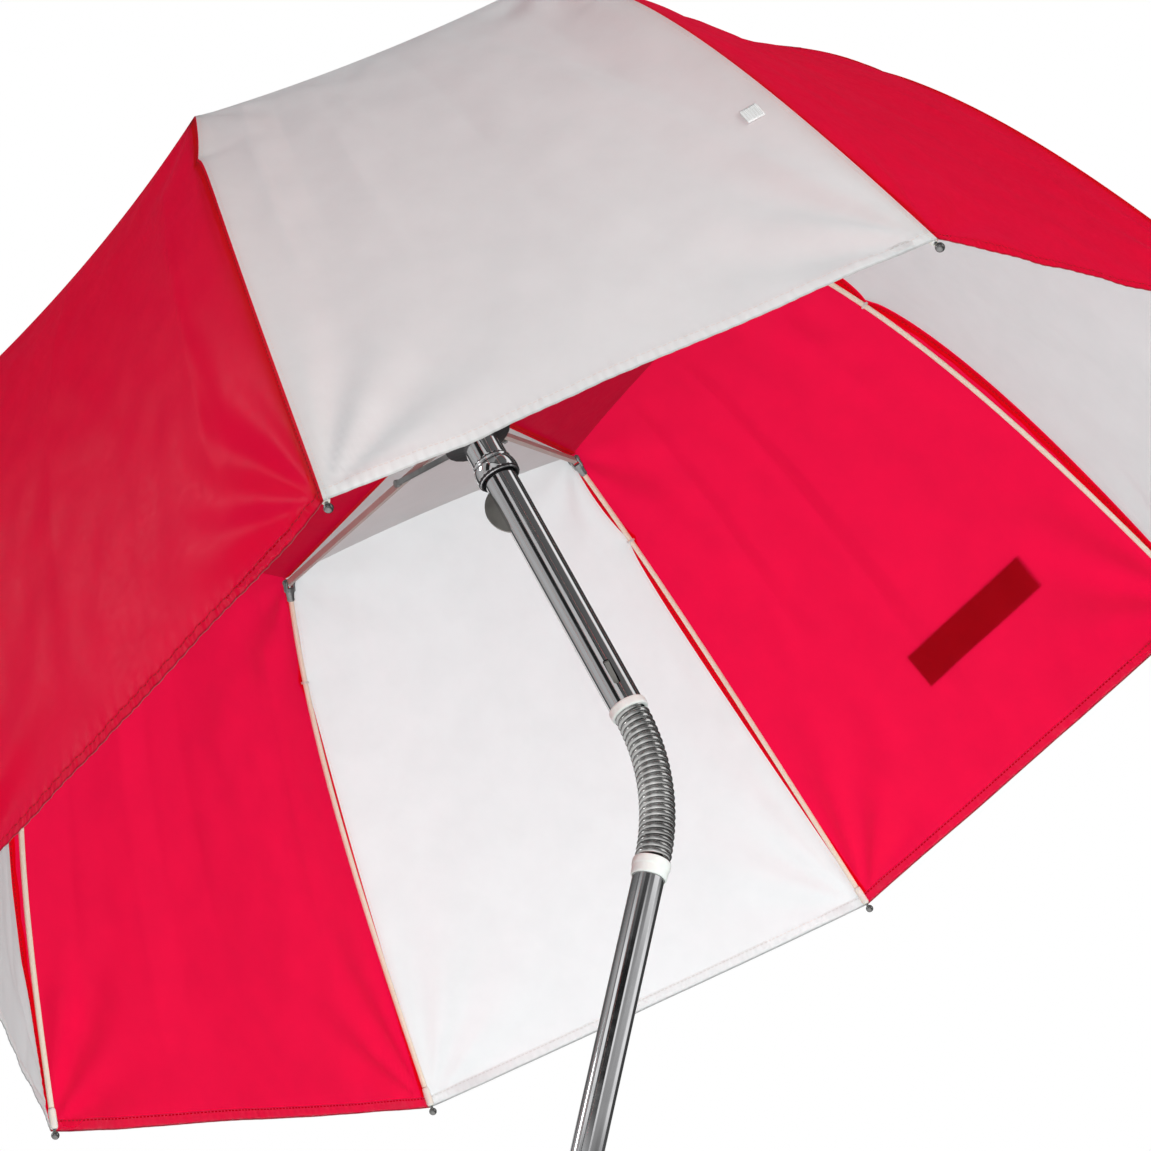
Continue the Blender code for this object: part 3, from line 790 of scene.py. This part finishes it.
def sheet_piece(name, grid, normals, cloth_uv, edge_uv, color, body):
    """A single-layer cloth mesh from a grid, with its own normals and its two UV layers."""
    look, slot = INK[color]
    obj = add_object(name, grid.reshape(-1, 3), grid_faces(*grid.shape[:2]), look, None, angle=None)
    mesh = obj.data
    add_uv(mesh, "cloth", cloth_uv)
    add_uv(mesh, "edge", edge_uv)
    mesh.normals_split_custom_set_from_vertices([tuple(n) for n in normals.reshape(-1, 3)])
    area = sum(p.area for p in mesh.polygons)
    settle(obj, body)
    return obj, area


def fold_with(obj):
    """Gives a piece of cloth its own copy of its mesh."""
    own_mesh(obj)


def folded_in(grid, normals, depth, gap, rows=4):
    """Extra rows that turn in under the last row of a grid and run back over it: the hem."""
    last, before = grid[-1], grid[-4]
    back = before - last
    back = back / np.linalg.norm(back, axis=1, keepdims=True)
    under = normals[-1]
    rows_out = [last - back * 0.0004 - under * gap * 0.5]
    for row in range(1, rows + 1):
        reach = depth * row / rows
        rows_out.append(last + back * reach - under * gap)
    return np.array(rows_out)


def build_panel(panel):
    color = "red" if panel % 2 else "white"
    for part in ("top", "skirt"):
        grid, normals = panel_grid(panel, part)
        rows, columns = grid.shape[:2]
        half = columns // 2
        lengths = path_lengths(grid)
        hem_gap = lengths[-1] - lengths if part == "skirt" else np.full((rows, columns), 0.2)
        widths = path_lengths(grid.transpose(1, 0, 2)).T
        middle = widths[:, half:half + 1]
        across = widths - middle
        seam_gap = np.minimum(widths, widths[:, -1:] - widths)
        if part == "skirt":
            fold = folded_in(grid, normals, HEM_FOLD, 0.0006)
            grid = np.concatenate([grid, fold])
            turned = np.repeat(-normals[-1:], len(fold), axis=0)
            turned[0] = (grid[-len(fold) - 1] - grid[-len(fold) - 2]) * 1000
            turned[0] /= np.linalg.norm(turned[0], axis=1, keepdims=True)
            normals = np.concatenate([normals, turned])
            back_gap = -np.linspace(0.0002, HEM_FOLD, len(fold))[:, None] * np.ones((1, columns))
            hem_gap = np.concatenate([hem_gap, back_gap])
            across = np.concatenate([across, np.repeat(across[-1:], len(fold), axis=0)])
            seam_gap = np.concatenate([seam_gap, np.repeat(seam_gap[-1:], len(fold), axis=0)])
        cloth_uv = np.stack([across, hem_gap], axis=2)
        edge_uv = np.stack([seam_gap, hem_gap], axis=2)
        for side, span in ((-1, slice(0, half + 1)), (1, slice(half, columns))):
            rib = panel + 1 if side > 0 else (panel or RIBS)
            body = f"rib_body_{rib}" if part == "skirt" else f"arm_body_{rib}"
            name = f"canopy_{part}_{panel + 1}_{'b' if side > 0 else 'a'}"
            obj, area = sheet_piece(
                name, grid[:, span], normals[:, span], cloth_uv[:, span], edge_uv[:, span], color, body
            )
            fold_with(obj)
            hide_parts(f"canopy_panel_{panel + 1}")
            obj.visible_glossy = False


def build_allowance(rib):
    """The seam allowance inside each seam: a stitched double strip of red cloth lying beside the rod."""
    left, right = (rib - 1) % RIBS, rib % RIBS
    red_side = 1 if right % 2 else -1
    place = rib_frame(rib)
    for part in ("skirt", "top"):
        rows = 72 if part == "skirt" else 24
        columns = 5
        grid = np.zeros((rows, columns, 3))
        for row in range(rows):
            share = row / (rows - 1)
            if part == "skirt":
                t = 0.012 + share * (HEM_CORNER - 0.028)
                edge = rib_point(t) + rib_out(t) * (seam_stand(t) - ALLOWANCE_DROP)
                edge.y -= red_side * SEAM_BOW * slack(t)
                inward = -rib_out(t)
            else:
                edge = top_edge(0.12 + 0.86 * share) - Vector((0, 0, ALLOWANCE_DROP))
                inward = Vector((ARM_DIRECTION.z, 0, -ARM_DIRECTION.x))
            for column in range(columns):
                reach = ALLOWANCE * column / (columns - 1)
                curl = 0.001 * math.sin(share * 37.0 + rib) * (column / (columns - 1))
                sideways = Vector((-0.38 * reach * 0.4, red_side * reach, 0))
                grid[row, column] = edge + sideways + inward * (0.0005 + 0.1 * reach + abs(curl))
        grid = moved(grid, place)
        reach = np.linspace(0.0, ALLOWANCE, columns)[None, :] * np.ones((rows, 1))
        edge_uv = np.stack([reach, path_lengths(grid) + 0.05], axis=2)
        body = f"rib_body_{rib}" if part == "skirt" else f"arm_body_{rib}"
        name, normals = f"allowance_{part}_{rib}", grid_normals(grid)
        obj, area = sheet_piece(name, grid, normals, edge_uv, edge_uv, "red", body)
        fold_with(obj)


def build_rib(rib):
    """A fibreglass rod in a folded steel fork, with its tip, and the thread that ties the cloth to it."""
    place = rib_frame(rib)
    body = f"rib_body_{rib}"
    first, last = 0.022, 0.972
    start = rib_point(0) + rib_slope(0.001) * FORK_LENGTH * 0.72
    path = [start] + [rib_point(first + (last - first) * step / 60) for step in range(61)]
    verts, faces = sweep(path, ROD_RADIUS, 20)
    add_object(f"rib_rod_{rib}", [place @ v for v in verts], faces, ROD, body)
    build_fork(rib, place, body)
    build_tip(rib, place, body)
    # Two turns of thread round rod and seam at the tie point
    out, along = rib_out(TIE_AT), rib_slope(TIE_AT)
    centre = rib_point(TIE_AT) + out * 0.0003
    path = []
    for step in range(49):
        turn = 2 * math.pi * 2 * step / 48
        swing = out * math.cos(turn) * THREAD_SWING + Vector((0, 1, 0)) * math.sin(turn) * THREAD_SWING
        path.append(centre + swing + along * (step / 48 - 0.5) * 0.0016)
    verts, faces = sweep(path, THREAD_RADIUS, 8)
    add_object(f"tie_thread_{rib}", verts, faces, SLEEVE, body, matrix=place)


def build_fork(rib, place, body):
    """Two plates either side of the arm's end, joined round the rod by a crimped socket."""
    along = rib_slope(0.001)
    up = Vector((-along.z, 0, along.x))
    verts, faces = [], []
    plate_in, plate_out = ARM_WIDTH / 2 + 0.0004, ARM_WIDTH / 2 + 0.0016
    layers = ((plate_in, 0.93), (plate_in + 0.0002, 1.0), (plate_out - 0.0003, 1.0), (plate_out, 0.9))
    outline = []
    for step in range(13):
        turn = math.radians(90 + 180 * step / 12)
        outline.append((0.0026 * math.cos(turn), 0.0026 * math.sin(turn)))
    outline += [(FORK_LENGTH - 0.0025, -0.0024), (FORK_LENGTH - 0.0025, 0.0024)]
    for side in (-1, 1):
        first = len(verts)
        for depth, shrink in layers:
            centre = rib_point(0) + Vector((0, side * depth, 0))
            verts += [centre + along * (x * shrink) + up * (z * shrink) for x, z in outline]
        faces += tube_faces(first, len(layers), len(outline), turned=side < 0)
    # The socket, round at the rod and flat where the plates begin
    sections = (
        (0.004, 0.0034, 0.0024), (0.0058, 0.0034, 0.0025), (0.008, 0.0029, 0.0027),
        (0.0105, 0.0026, 0.0026), (0.0125, 0.0026, 0.0026), (0.0132, 0.0022, 0.0022),
    )
    first = len(verts)
    sides = 20
    for reach, wide, tall in sections:
        centre = rib_point(0) + along * reach
        for turn in turns(sides):
            square = 1 / max(abs(math.cos(turn)), abs(math.sin(turn))) ** (0.5 if reach < 0.007 else 0.0)
            verts.append(
                centre + up * math.sin(turn) * tall * square + Vector((0, math.cos(turn) * wide * square, 0))
            )
    faces += tube_faces(first, len(sections), sides, turned=True)
    fork = add_object(f"rib_fork_{rib}", verts, faces, PIVOT, body, matrix=place)
    pin = [(0, 0.0042), (0.0019, 0.0042), (0.0019, 0.0036), (0.0009, 0.0035)]
    pin += [(radius, -z) for radius, z in reversed(pin)]
    verts, faces = lathe(rounded(pin, 0.0003), 20)
    turn = place @ Matrix.Translation(rib_point(0)) @ Matrix.Rotation(math.pi / 2, 4, "X")
    add_object(f"elbow_pin_{rib}", verts, faces, PIVOT, body, matrix=turn)
    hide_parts(f"outer_rib_{rib}")


def build_tip(rib, place, body):
    """A sleeve over the end of the rod, then a thin wire neck and a ball."""
    slope = rib_slope(0.999)
    turn = slope.to_track_quat("-Z", "Y").to_matrix().to_4x4()
    matrix = place @ Matrix.Translation(rib_point(1)) @ turn
    sleeve = [
        (0, 0.0125), (0.0021, 0.0125), (0.0024, 0.011), (0.0025, 0.001), (0.0019, -0.0006), (0, -0.0006),
    ]
    verts, faces = lathe(rounded(sleeve, 0.0005), 28)
    add_object(f"tip_sleeve_{rib}", verts, faces, SLEEVE, body, matrix=matrix)
    ball = [(0.0, -0.0004), (0.00105, -0.0006), (0.00095, -0.0014), (0.0009, -0.0022)]
    for step in range(14):
        angle = math.radians(66 - step * 156 / 13)
        ball.append((BALL_RADIUS * math.cos(angle), -0.0046 + BALL_RADIUS * math.sin(angle)))
    ball.append((0.0, -0.0046 - BALL_RADIUS))
    verts, faces = lathe(ball, 28)
    tip = add_object(f"rib_tip_{rib}", verts, faces, TIP_METAL, body, matrix=matrix, angle=60)
    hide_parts(f"tip_{rib}")


# Shafts, neck, runner and grip


def tube(name, radius, wall, low, high, look, body, matrix, slots=()):
    """A drawn tube with true cylinder normals. slots are (azimuth, half width, low, high) holes."""
    sides = 128
    profile = [(radius - wall, high), (radius, high), (radius, low), (radius - wall, low)]
    verts, faces = lathe(rounded(profile, 0.0003, 2), sides)
    obj = add_object(name, verts, faces, look, None)
    for azimuth, half_width, slot_low, slot_high in slots:
        cut_slot(obj, radius, azimuth, half_width, slot_low, slot_high)
    true_normals(obj)
    obj.matrix_world = matrix
    return settle(obj, body)


def cut_slot(obj, radius, azimuth, half_width, low, high):
    """Cuts a round-cornered slot through one side of a tube."""
    corner = min(half_width * 0.7, 0.0013)
    outline = []
    for x, z, start in ((1, 1, 0), (-1, 1, 90), (-1, -1, 180), (1, -1, 270)):
        for step in range(7):
            turn = math.radians(start + 15 * step)
            outline.append((
                x * (half_width - corner) + corner * math.cos(turn),
                (high - corner if z > 0 else low + corner) + corner * math.sin(turn),
            ))
    verts = [(x, -radius * depth, z) for depth in (0.4, 1.6) for x, z in outline]
    mesh = bpy.data.meshes.new("slot_cutter")
    mesh.from_pydata(verts, [], tube_faces(0, 2, len(outline)))
    mesh.transform(Matrix.Rotation(math.radians(azimuth), 4, "Z"))
    cutter = linked("slot_cutter", mesh)
    boolean = obj.modifiers.new("slot", "BOOLEAN")
    boolean.operation = "DIFFERENCE"
    boolean.object = cutter
    bpy.context.view_layer.update()
    graph = bpy.context.evaluated_depsgraph_get()
    made = bpy.data.meshes.new_from_object(obj.evaluated_get(graph))
    obj.modifiers.clear()
    obj.data = made
    bpy.data.objects.remove(cutter, do_unlink=True)


def true_normals(obj):
    """Loops on a tube's outer and inner skins get the cylinder's own normal, others their face's."""
    mesh = obj.data
    mesh.shade_smooth()
    normals = []
    for face in mesh.polygons:
        flat = face.normal
        for loop in face.loop_indices:
            co = mesh.vertices[mesh.loops[loop].vertex_index].co
            radial = Vector((co.x, co.y, 0)).normalized()
            facing = radial.dot(flat)
            normals.append(radial * math.copysign(1.0, facing) if abs(facing) > 0.97 else flat.copy())
    mesh.normals_split_custom_set([tuple(n) for n in normals])


def coil_point(angle, turn, radius):
    return neck_frame(angle) @ Vector((radius * math.cos(turn), radius * math.sin(turn), 0))


def build_neck():
    """A close-wound coil of round wire over a near-black liner, split where the neck's links part. The
    liner's near-black colour is painted shade between the turns.
    """
    link_angle = NECK_ANGLE / NECK_HINGES
    half = link_angle / 2
    spans = [("neck_foot", 0.0, half, "base")]
    for index in range(1, NECK_HINGES):
        middle = link_angle * index
        spans.append((f"neck_link_{index}", middle - half, middle + half, f"link_{index}"))
    spans.append(("neck_head", NECK_ANGLE - half, NECK_ANGLE, "upper"))
    per_turn, section = 40, 14
    pitch = NECK_LENGTH / COIL_TURNS
    for name, start, end, body in spans:
        steps = round((end - start) / NECK_ANGLE * COIL_TURNS * per_turn)
        verts = []
        for step in range(steps + 1):
            angle = start + (end - start) * step / steps
            turn = 2 * math.pi * COIL_TURNS * angle / NECK_ANGLE - 0.9
            for around in turns(section):
                rise = 0.485 * pitch * math.sin(around) / BEND_RADIUS
                here = min(NECK_ANGLE - 0.0004, max(0.0004, angle + rise))
                radius = NECK_RADIUS - COIL_WIRE + COIL_WIRE * math.cos(around)
                verts.append(coil_point(here, turn, radius))
        wire = tube_faces(0, steps + 1, section, turned=True)
        # The liner under the coil, partly a real core and partly painted shade: its near-black colour shows
        # as the shade between the turns
        first, rings, sides = len(verts), 6, 48
        for ring in range(rings + 1):
            angle = start + (end - start) * ring / rings
            verts += [coil_point(angle, turn, NECK_RADIUS - 1.25 * COIL_WIRE) for turn in turns(sides)]
        liner = tube_faces(first, rings + 1, sides)
        looks = [(COIL, len(wire)), (COIL_GAP_SHADE, len(liner))]
        obj = add_object(f"coil_{name[5:]}", verts, wire + liner, looks, body, angle=70)
        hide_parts(name)


def build_runner():
    """The runner: a chromed sleeve with a rolled, flared foot, a dark lining and a notched black head."""
    low = RUNNER_BOTTOM
    foot = [
        (RUNNER_SLEEVE, RUNNER_HEAD_BOTTOM - 0.003), (RUNNER_SLEEVE, low + 0.0142),
        (RUNNER_SLEEVE - 0.00015, low + 0.0137), (0.0124, low + 0.0131), (0.0127, low + 0.0123),
        (0.0124, low + 0.0115),
    ]
    for step in range(12):
        turn = math.radians(75 - 130 * step / 11)
        foot.append((0.0119 + 0.0021 * math.cos(turn), low + 0.005 + 0.0058 * math.sin(turn)))
    foot += [
        (0.0127, low + 0.0002), (0.0124, low + 0.0014), (0.0122, low + 0.004), (0.0114, low + 0.006),
        (0.0112, low + 0.008), (0.0112, RUNNER_HEAD_BOTTOM - 0.003),
    ]
    lathed("runner_sleeve", foot, CHROME_RUNNER, "runner_slider", CROWN_FRAME, sides=128,
           soft=0.0005, angle=50)
    lining = [(0.01105, low + 0.009), (0.01195, low + 0.006), (0.0122, low + 0.0022), (0.0117, low + 0.0018),
              (0.0109, low + 0.0035), (0.01085, low + 0.009)]
    lathed("runner_lining", lining, LINING, "runner_slider", CROWN_FRAME, soft=0.0002)
    NODES["runner"].data.materials[0] = HUB


def build_grip():
    """A straight rubber grip with shallow rings and flared ends."""
    profile = [(0.0098, 0.134), (0.0138, 0.134), (0.015, 0.1315), (0.015, 0.128)]
    for ring in range(18):
        z = 0.124 - ring * 0.0058
        profile += [(0.0148, z + 0.0012), (0.0141, z), (0.0141, z - 0.0016), (0.0148, z - 0.0028)]
    profile += [(0.015, 0.02), (0.015, 0.015), (0.0142, 0.0125), (0.0098, 0.0125)]
    lathed("grip_rubber", profile, GRIP, "base", GROUND_FRAME, ["grip"], 96, 0.0005, 50)
    cap = [
        (0, 0.0118), (0.0143, 0.0118), (0.0155, 0.0108), (0.0155, 0.005), (0.015, 0.0015), (0.0132, 0.0),
        (0, 0.0),
    ]
    lathed("butt_rubber", cap, GRIP, "base", GROUND_FRAME, ["butt_cap"], 96, 0.0008, 50)


def build_collars():
    top, radius, bore = NECK_BASE, COLLAR_RADIUS, LOWER_RADIUS + 0.0002
    lower = [
        (bore, top + 0.0004), (radius - 0.0004, top + 0.0004), (radius, top - 0.001), (radius, top - 0.0042),
        (radius - 0.0005, top - 0.0052), (radius - 0.0007, top - 0.01), (radius - 0.0013, top - 0.011),
        (bore, top - 0.011),
    ]
    lathed("collar_lower", lower, COLLAR, "base", GROUND_FRAME, ["lower_collar"], 96, 0.0006)
    radius = COLLAR_RADIUS + 0.0005
    bore, inner = UPPER_RADIUS + 0.0002, UPPER_RADIUS - TUBE_WALL
    upper = [
        (bore, 0.0055), (radius - 0.0004, 0.0055), (radius, 0.0046), (radius, 0.001),
        (radius - 0.0006, -0.0002), (inner, -0.0002), (inner, 0.0001), (bore, 0.0004),
    ]
    lathed("collar_upper", upper, COLLAR, "upper", CROWN_FRAME, ["upper_collar"], 96, 0.0005)


def build_shafts():
    lower = tube(
        "shaft_lower", LOWER_RADIUS, TUBE_WALL, 0.0123, NECK_BASE - 0.0004, CHROME_LOWER, "base", GROUND_FRAME
    )
    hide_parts("lower_shaft")
    upper = tube(
        "shaft_upper", UPPER_RADIUS, TUBE_WALL, 0.0003, CROWN_TOP - 0.001, CHROME_UPPER, "upper", CROWN_FRAME,
        ((0.0, 0.0021, 0.0168, 0.034), (-90.0, 0.0011, 0.1446, 0.1764)),
    )
    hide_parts("upper_shaft")
    # The small leaf in the lower slot: sunk at its foot, its head bent out to the tube's surface
    path = [(-0.0062, 0.0172), (-0.0074, 0.02), (-0.0086, 0.024), (-0.0093, 0.028), (-0.0099, 0.0306),
            (-0.0106, 0.0322), (-0.0104, 0.033), (-0.0092, 0.0333), (-0.008, 0.033)]
    verts = []
    half, thick = 0.00155, 0.0006
    for index, (y, z) in enumerate(path):
        before, after = path[max(0, index - 1)], path[min(len(path) - 1, index + 1)]
        along = Vector((0, after[0] - before[0], after[1] - before[1])).normalized()
        out = Vector((0, along.z, -along.y))
        for x, depth in ((-half, 0.5), (half, 0.5), (half, -0.5), (-half, -0.5)):
            verts.append(Vector((x, y, z)) - out * thick * depth)
    faces = tube_faces(0, len(path), 4)
    leaf = add_object(
        "lower_leaf", verts, faces, LEAF, "bottom_catch_leaf", matrix=CROWN_FRAME, angle=30
    )
    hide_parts("bottom_catch")


def build_top_cap():
    low = CROWN_TOP + 0.0003
    profile = [
        (0, 0.278), (0.0022, 0.2768), (0.003, 0.2735), (0.0036, 0.268), (0.0044, 0.262), (0.0085, 0.2578),
        (0.015, 0.2566), (0.0186, 0.256), (0.019, 0.2552), (0.0186, 0.2545), (0.012, 0.2535),
        (0.0088, 0.2525), (0.0088, low), (0, low),
    ]
    lathed("canopy_cap", profile, CAP, "upper", CROWN_FRAME, ["top_cap"], 96, 0.0006, 45)


def sewn_patch(name, panel, t, y, size, lift, look, rib):
    """A flat piece sewn to the outside of a skirt panel. size is its length along the hem and its width down
    the panel; its middle is at t down the rib's curve and at y across the panel."""
    length, width = size
    lines = fold_lines(panel)
    rows, columns = 11, 33
    speed = (rib_point(t + 0.01) - rib_point(t - 0.01)).length / 0.02
    grid, height = np.zeros((rows, columns, 3)), np.zeros((rows, columns))
    for row in range(rows):
        here = t + (row / (rows - 1) - 0.5) * width / speed
        for column in range(columns):
            reach = y + (column / (columns - 1) - 0.5) * length
            across = reach / (rib_point(here).x * math.sin(HALF_STEP))
            share = here / hem_at(across)
            grid[row, column] = skirt_point(panel, here, across, share)
            height[row, column] = lift + skirt_height(panel, lines, across, share)
    grid = moved(grid + grid_normals(grid) * height[..., None], panel_frame(panel))
    obj = add_object(name, grid.reshape(-1, 3), grid_faces(rows, columns), look, None, angle=None)
    reach = np.stack(np.meshgrid(np.linspace(0, length, columns), np.linspace(0, width, rows)), axis=2)
    add_uv(obj.data, "cloth", reach)
    solid = obj.modifiers.new("thickness", "SOLIDIFY")
    solid.thickness = PATCH_THICKNESS
    solid.offset = 0.0
    settle(obj, f"rib_body_{rib}")
    fold_with(obj)
    return obj


def build_strap():
    """The closing strap across a red panel, and the small square of hook tape that it fastens to."""
    strap = sewn_patch("closing_strap", 3, 0.785, -0.03, (0.11, 0.026), 0.0013, WEBBING, 4)
    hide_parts("tie_strap")
    sewn_patch("hook_patch", 0, 0.68, 0.135, (0.011, 0.011), 0.0012, PATCH, 1)


def dress_nodes():
    """Better materials on the CAD nodes whose shape stays."""
    looks = {"crown": HUB, "crown_wire": PIVOT, "runner_wire": PIVOT, "top_catch": LEAF}
    for index in range(1, RIBS + 1):
        looks[f"arm_{index}"] = ARM
        looks[f"stretcher_{index}"] = PIVOT
    for name, look in looks.items():
        NODES[name].data.materials.clear()
        NODES[name].data.materials.append(look)


# Studio


def build_camera():
    data = bpy.data.cameras.new("camera")
    data.lens = CAMERA_LENS
    data.sensor_width = CAMERA_SENSOR
    camera = linked("camera", data)
    azimuth, elevation = math.radians(CAMERA_AZIMUTH), math.radians(CAMERA_ELEVATION)
    forward = Vector((
        -math.sin(azimuth) * math.cos(elevation), math.cos(azimuth) * math.cos(elevation), math.sin(elevation)
    ))
    level = forward.cross(Vector((0, 0, 1))).normalized()
    upright = level.cross(forward)
    roll = math.radians(CAMERA_ROLL)
    right = level * math.cos(roll) + upright * math.sin(roll)
    up = right.cross(forward)
    turn = Matrix((right, up, -forward)).transposed().to_4x4()
    camera.matrix_world = Matrix.Translation(CAMERA_PLACE) @ turn
    bpy.context.scene.camera = camera


def soft_light(name, place, target, size, power, mirrored):
    """An area light. One that is mirrored also shows in glossy surfaces."""
    data = bpy.data.lights.new(name, "AREA")
    data.shape = "RECTANGLE"
    data.size, data.size_y = size
    data.energy = power
    light = linked(name, data)
    aim = Vector(target) - Vector(place)
    light.matrix_world = Matrix.Translation(place) @ aim.to_track_quat("-Z", "Y").to_matrix().to_4x4()
    light.visible_camera = False
    light.visible_glossy = mirrored


class WorldNodes(Nodes):
    """The same short names for the nodes of the world."""

    def __init__(self):
        world = bpy.data.worlds.new("studio")
        bpy.context.scene.world = world
        world.use_nodes = True
        self.tree = world.node_tree

    def stripes(self, azimuth, stops):
        """Brightness round the horizon, from (degrees, brightness); 0 is towards -Y and 90 towards +X."""
        ramp = self.add("ShaderNodeValToRGB")
        elements = ramp.color_ramp.elements
        elements.remove(elements[1])
        for index, (degrees, level) in enumerate(stops):
            stop = elements.new(0.5 + degrees / 360) if index else elements[0]
            stop.position = 0.5 + degrees / 360
            stop.color = (level, level, level, 1.0)
        self.link(self.spread(azimuth, -math.pi, math.pi), ramp.inputs[0])
        return ramp.outputs[0]


# What the polished tubes reflect: white and dark studio panels, in three bands of height
LOW_PANELS = (
    (-180, 0.1), (-160, 0.1), (-155, 0.85), (-142, 0.85), (-138, 0.05), (-127, 0.05), (-122, 0.34),
    (-95, 0.46), (-56, 0.4), (-53, 0.02), (-36, 0.02), (-33, 0.62), (-12, 0.55), (20, 0.3), (60, 0.12),
    (180, 0.1),
)
MIDDLE_PANELS = (
    (-180, 0.1), (-120, 0.12), (-102, 0.3), (-84, 0.44), (-68, 0.36), (-66, 0.12), (-62, 0.12), (-60, 1.0),
    (-42, 1.0), (-36, 0.015), (10, 0.015), (13, 0.95), (21, 0.95), (25, 0.36), (80, 0.42), (92, 1.0),
    (112, 1.0), (120, 0.05), (180, 0.06),
)
HIGH_PANELS = (
    (-180, 0.08), (-60, 0.12), (-20, 0.3), (-14, 0.09), (46, 0.12), (52, 0.95), (84, 0.95), (94, 0.05),
    (180, 0.05),
)


def build_studio():
    n = WorldNodes()
    split = n.add("ShaderNodeSeparateXYZ")
    n.link(n.coords("Generated"), split.inputs[0])
    x, y, z = split.outputs
    azimuth = n.math("ARCTAN2", x, n.math("MULTIPLY", y, -1.0))
    low, middle, high = (n.stripes(azimuth, stops) for stops in (LOW_PANELS, MIDDLE_PANELS, HIGH_PANELS))
    panels = n.mix(n.spread(z, 0.33, 0.345), low, middle)
    panels = n.mix(n.spread(z, 0.385, 0.41), panels, high)
    soft = n.math("MULTIPLY", n.spread(y, -1.0, 1.0, 0.62, 0.95), n.spread(z, -0.4, 1.0, 1.0, 0.75))
    soft = n.math("MULTIPLY", soft, n.spread(x, -1.0, 1.0, 0.2, 1.1))
    rays = n.add("ShaderNodeLightPath").outputs
    color = n.mix(rays["Is Glossy Ray"], soft, panels)
    color = n.mix(rays["Is Camera Ray"], color, (1.0, 1.0, 1.0))
    n.link(color, n.tree.nodes["Background"].inputs["Color"])
    soft_light("backlight", (-0.3, 2.7, 1.25), (0.0, 0.2, 0.85), (2.6, 1.6), 50.0, False)
    soft_light("low_key", (0.5, -2.3, -0.6), (0.0, 0.2, 0.8), (1.4, 1.0), 29.5, False)
    soft_light("key", (1.6, -2.0, 1.6), (0.0, -0.2, 0.85), (1.2, 1.2), 33.0, False)
    soft_light("side_strip", (-2.1, -0.1, 1.05), (-0.2, -0.1, 0.9), (0.35, 0.45), 3.0, True)
    verts = [(x * FLOOR_HALF, y * FLOOR_HALF, FLOOR_Z) for x, y in ((-1, -1), (1, -1), (1, 1), (-1, 1))]
    mesh = bpy.data.meshes.new("studio_floor")
    mesh.from_pydata(verts, [], [(0, 1, 2, 3)])
    floor = linked("studio_floor", mesh)
    n = Nodes("studio_paper")
    grain = n.noise(n.coords(), 3.0, 4.0, 0.6)
    mesh.materials.append(n.finish(n.mix(grain, (0.95, 0.95, 0.95), (0.92, 0.92, 0.92)), 0.85))
    n.shader.inputs["Emission Color"].default_value = (1.0, 1.0, 1.0, 1.0)
    n.shader.inputs["Emission Strength"].default_value = 0.05
    view = bpy.context.scene.view_settings
    view.view_transform = "Standard"
    view.look = "None"


build_camera()
build_studio()
dress_nodes()
build_shafts()
build_neck()
build_collars()
build_runner()
build_grip()
build_top_cap()
for rib_index in range(1, RIBS + 1):
    build_rib(rib_index)
    build_allowance(rib_index)
for panel_index in range(RIBS):
    build_panel(panel_index)
build_strap()
